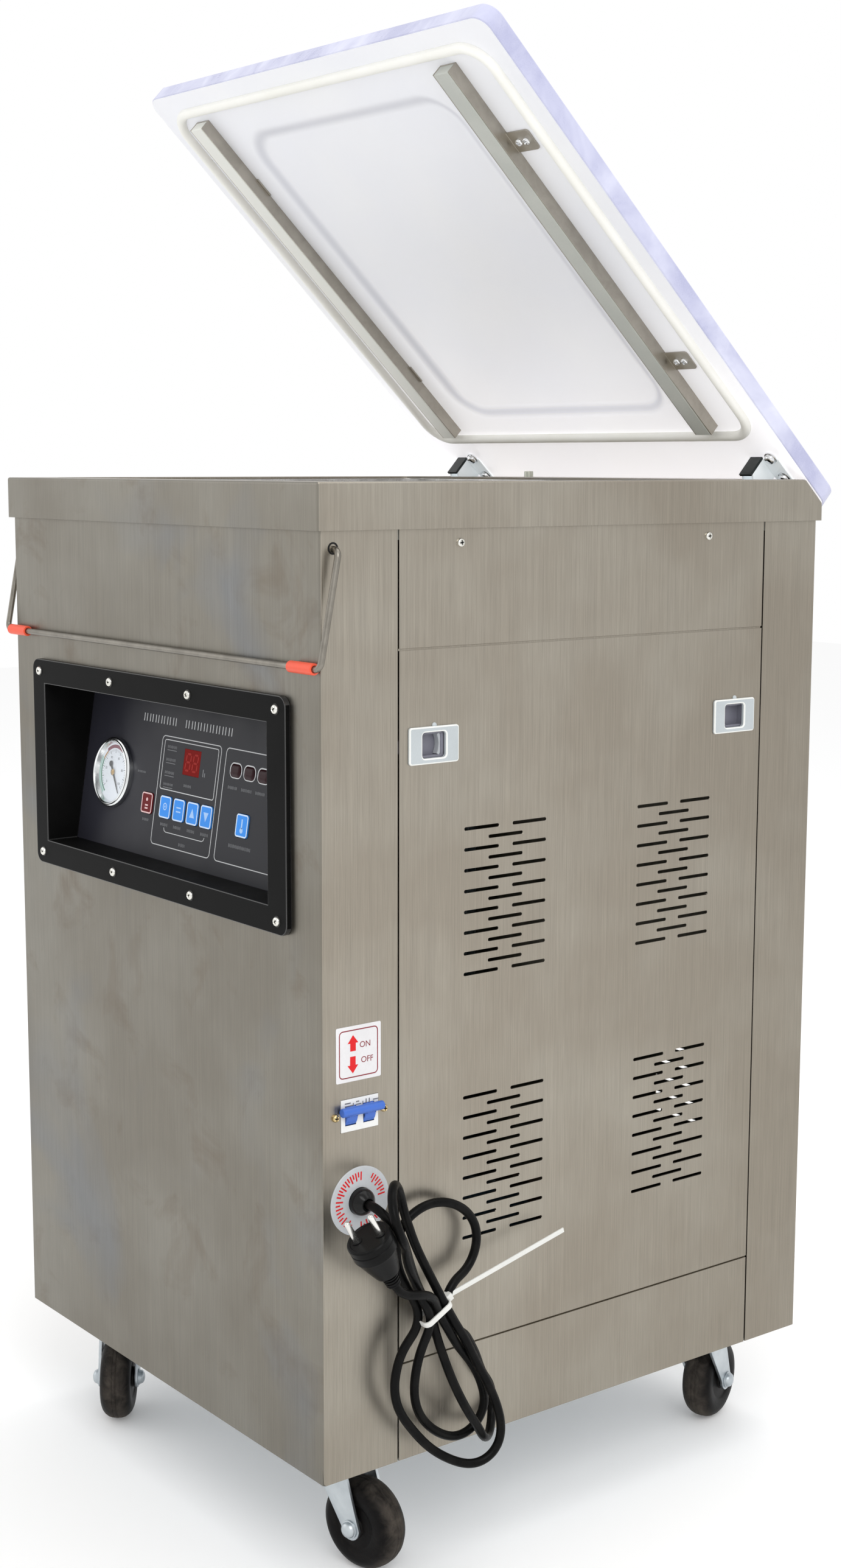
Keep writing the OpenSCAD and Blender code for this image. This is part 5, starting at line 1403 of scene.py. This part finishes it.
def buildLid():
    s, h = slabShape, hollow
    top = s["under"] + s["thick"]
    around = (s["low"], s["high"], s["radius"])
    loops = [insetLoop(*around, inset, z, 12) for inset, z in (
        (s["edge"], top), (0, top - s["edge"]), (0, s["under"] + s["edge"]), (s["edge"], s["under"]))]
    for k in range(h["steps"] + 1):
        part = k / h["steps"]
        depth = h["depth"] * (3 - 2 * part) * part * part
        loops.append(insetLoop(h["low"], h["high"], h["radius"], h["ramp"] * part, s["under"] + depth, 12))
    bm = bmesh.new()
    ramp = bm.verts.layers.float.new("ramp")
    skin(bm, loops)
    for face in bm.faces:
        face.material_index = 1 if abs(face.normal.z) < 0.8 else 0
    # the ramp value carries the painted shade along the hollow
    for v in bm.verts:
        inside = h["low"][0] < v.co.x < h["high"][0] and h["low"][1] < v.co.y < h["high"][1]
        if inside and s["under"] < v.co.z < s["under"] + h["depth"]:
            v[ramp] = math.sin(math.pi * (v.co.z - s["under"]) / h["depth"])
    bm.transform(openedLid())
    return piece("lidSlab", bm, [finishes["lid_acrylic"], sawnEdge()], "lid", ["lid"])


def buildRingSeal():
    s = ringSeal
    base = slabShape["under"] - 0.05
    loops = []
    for k in range(s["steps"] + 1):
        a = math.pi * k / s["steps"]
        inset = s["width"] * (1 - math.cos(a)) / 2
        loops.append(insetLoop(s["low"], s["high"], s["radius"], inset, base - s["height"] * math.sin(a) ** 0.8,
                               10))
    bm = bmesh.new()
    skin(bm, loops, closed=True)
    bm.transform(openedLid())
    return piece("ringSeal", bm, finishes["gasket_rubber"], "lid", ["lid_gasket"], angle=60)


buildLid()
buildRingSeal()
print("lid and ring seal built")

# ---- casters: bent steel forks with domed axle nuts, dusty rubber wheels

caster = dict(inset=60.5, trail=24.5, wheel=75, width=28, base=-13.3, sheet=3, gap=15.5, bend=4, eye=9.5,
              front=-17, back=19, turns=(-38, 12, 205, 111))
corners = ("front_left", "front_right", "rear_left", "rear_right")
wheelShape = [(4.2, -15), (8.4, -15), (9.2, -14.4), (9.6, -13.2), (17.5, -12.4), (19, -12.7), (20.2, -13.6),
              (25, -14), (28.6, -13.9), (31.6, -12.6), (34.2, -10.4), (36.2, -7.4), (37.1, -4.6), (37.3, -2.2),
              (36.9, -1.7), (37.4, -1.2), (37.5, 0)]


def casterMatrix(i):
    x = caster["inset"] if i % 2 == 0 else cabinet["width"] - caster["inset"]
    y = caster["inset"] if i < 2 else cabinet["depth"] - caster["inset"]
    return moved(x, y, 0) @ spun(caster["turns"][i])


def forkLoops():
    c = caster
    axle = c["wheel"] / 2 - cabinet["base"]
    side = []  # one leg from its foot up: how far out, height, front and back
    for k in range(1, 9):
        a = math.radians(-90 + 90 * k / 8)
        half = c["eye"] * math.cos(a)
        side.append((0, axle + c["eye"] * math.sin(a), c["trail"] - half, c["trail"] + half))
    top = c["base"] - c["bend"]
    for k in range(1, 9):
        part = k / 8
        z = axle + (top - axle) * part
        side.append((0, z, c["trail"] - c["eye"] + (c["front"] - c["trail"] + c["eye"]) * part,
                     c["trail"] + c["eye"] + (c["back"] - c["trail"] - c["eye"]) * part))
    for k in range(1, 7):
        a = math.radians(15 * k)
        side.append((c["bend"] * (1 - math.cos(a)), top + c["bend"] * math.sin(a), c["front"], c["back"]))
    loops = []
    outer = c["gap"] + c["sheet"]
    for half in (1, -1):
        for step, (inward, z, front, back) in enumerate(side[::half]):
            if inward:
                lean = inward / c["bend"]
                down = c["sheet"] * math.sqrt(max(1 - (1 - lean) ** 2, 0))
                across = c["sheet"] * (1 - lean)
            else:
                down, across = 0, c["sheet"]
            y = half * (outer - inward)
            inner = half * (outer - inward - across)
            loops.append([Vector(p) for p in ((front, y, z), (back, y, z), (back, inner, z - down),
                                              (front, inner, z - down))])
    return loops


def wheelRubber():
    f = Finish("wheelRubber")
    dust = f.node("Attribute", dict(attribute_name="dust"), output=2)
    patches = f.noise(70, 5, 0.65, distortion=0.6)
    fine = f.noise(500, 3, 0.6)
    amount = f.spread(patches + dust * 0.25, 0.5, 1.0) * (0.1 + dust * 0.9)
    colour = f.blend(amount, (0.0045, 0.004, 0.004), (0.085, 0.072, 0.06))
    gloss = f.spread(amount, 0, 1, 0.42, 0.85)
    return f.done(colour, Roughness=gloss, specular=0.08, Normal=f.bump(fine + patches, 0.5, 0.0003))


def buildCasters():
    rubber = wheelRubber()
    axle = caster["wheel"] / 2 - cabinet["base"]
    shape = wheelShape + [(r, -h) for r, h in wheelShape[-2::-1]]
    for i, corner in enumerate(corners):
        place = casterMatrix(i)
        bm = bmesh.new()
        skin(bm, forkLoops())
        soften(bm, 0.5, 2, 50)
        for side in (-1, 1):
            out = towards((0, side, 0), (caster["trail"], side * (caster["gap"] + caster["sheet"]), axle))
            turned(bm, [(4, 0), (7.4, 0), (7.6, 0.3), (7.4, 1.2), (6.6, 1.4), (6.4, 2.6), (5.6, 4.2), (3.8, 5.3),
                        (1.6, 5.8)], 32, matrix=out)
            turned(bm, [(4, -0.1), (5.6, -0.1), (5.6, -1.2), (4, -1.2)], 24,
                   matrix=towards((0, side, 0), (caster["trail"], side * caster["gap"], axle)))
        turned(bm, [(3.9, -15.3), (3.9, 15.3)], 24, matrix=towards((0, 1, 0), (caster["trail"], 0, axle)))
        bm.transform(place)
        piece("fork" + corner.title().replace("_", ""), bm, finishes["zinc_plate"], "swivel_" + corner,
              ["fork_" + corner])
        bm = bmesh.new()
        dust = bm.verts.layers.float.new("dust")
        for v in turned(bm, shape, 72, closed=True):
            v[dust] = min(max((math.hypot(v.co.x, v.co.y) - 30) / 7, 0.05), 1)
        bm.transform(place @ towards((0, 1, 0), (caster["trail"], 0, axle)))
        piece("wheel" + corner.title().replace("_", ""), bm, rubber, "roller_" + corner, ["wheel_" + corner],
              angle=50)


buildCasters()
print("casters built")

leadLine = settleLead()
leadPoints = atWall(smoothLine(leadLine, 2))
mainsLead = wireObject("mainsLead", leadPoints, lead["diameter"] / 1000, leadRubber())
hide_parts("cord_tube", "cord_hank")
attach(mainsLead, "cabinet")
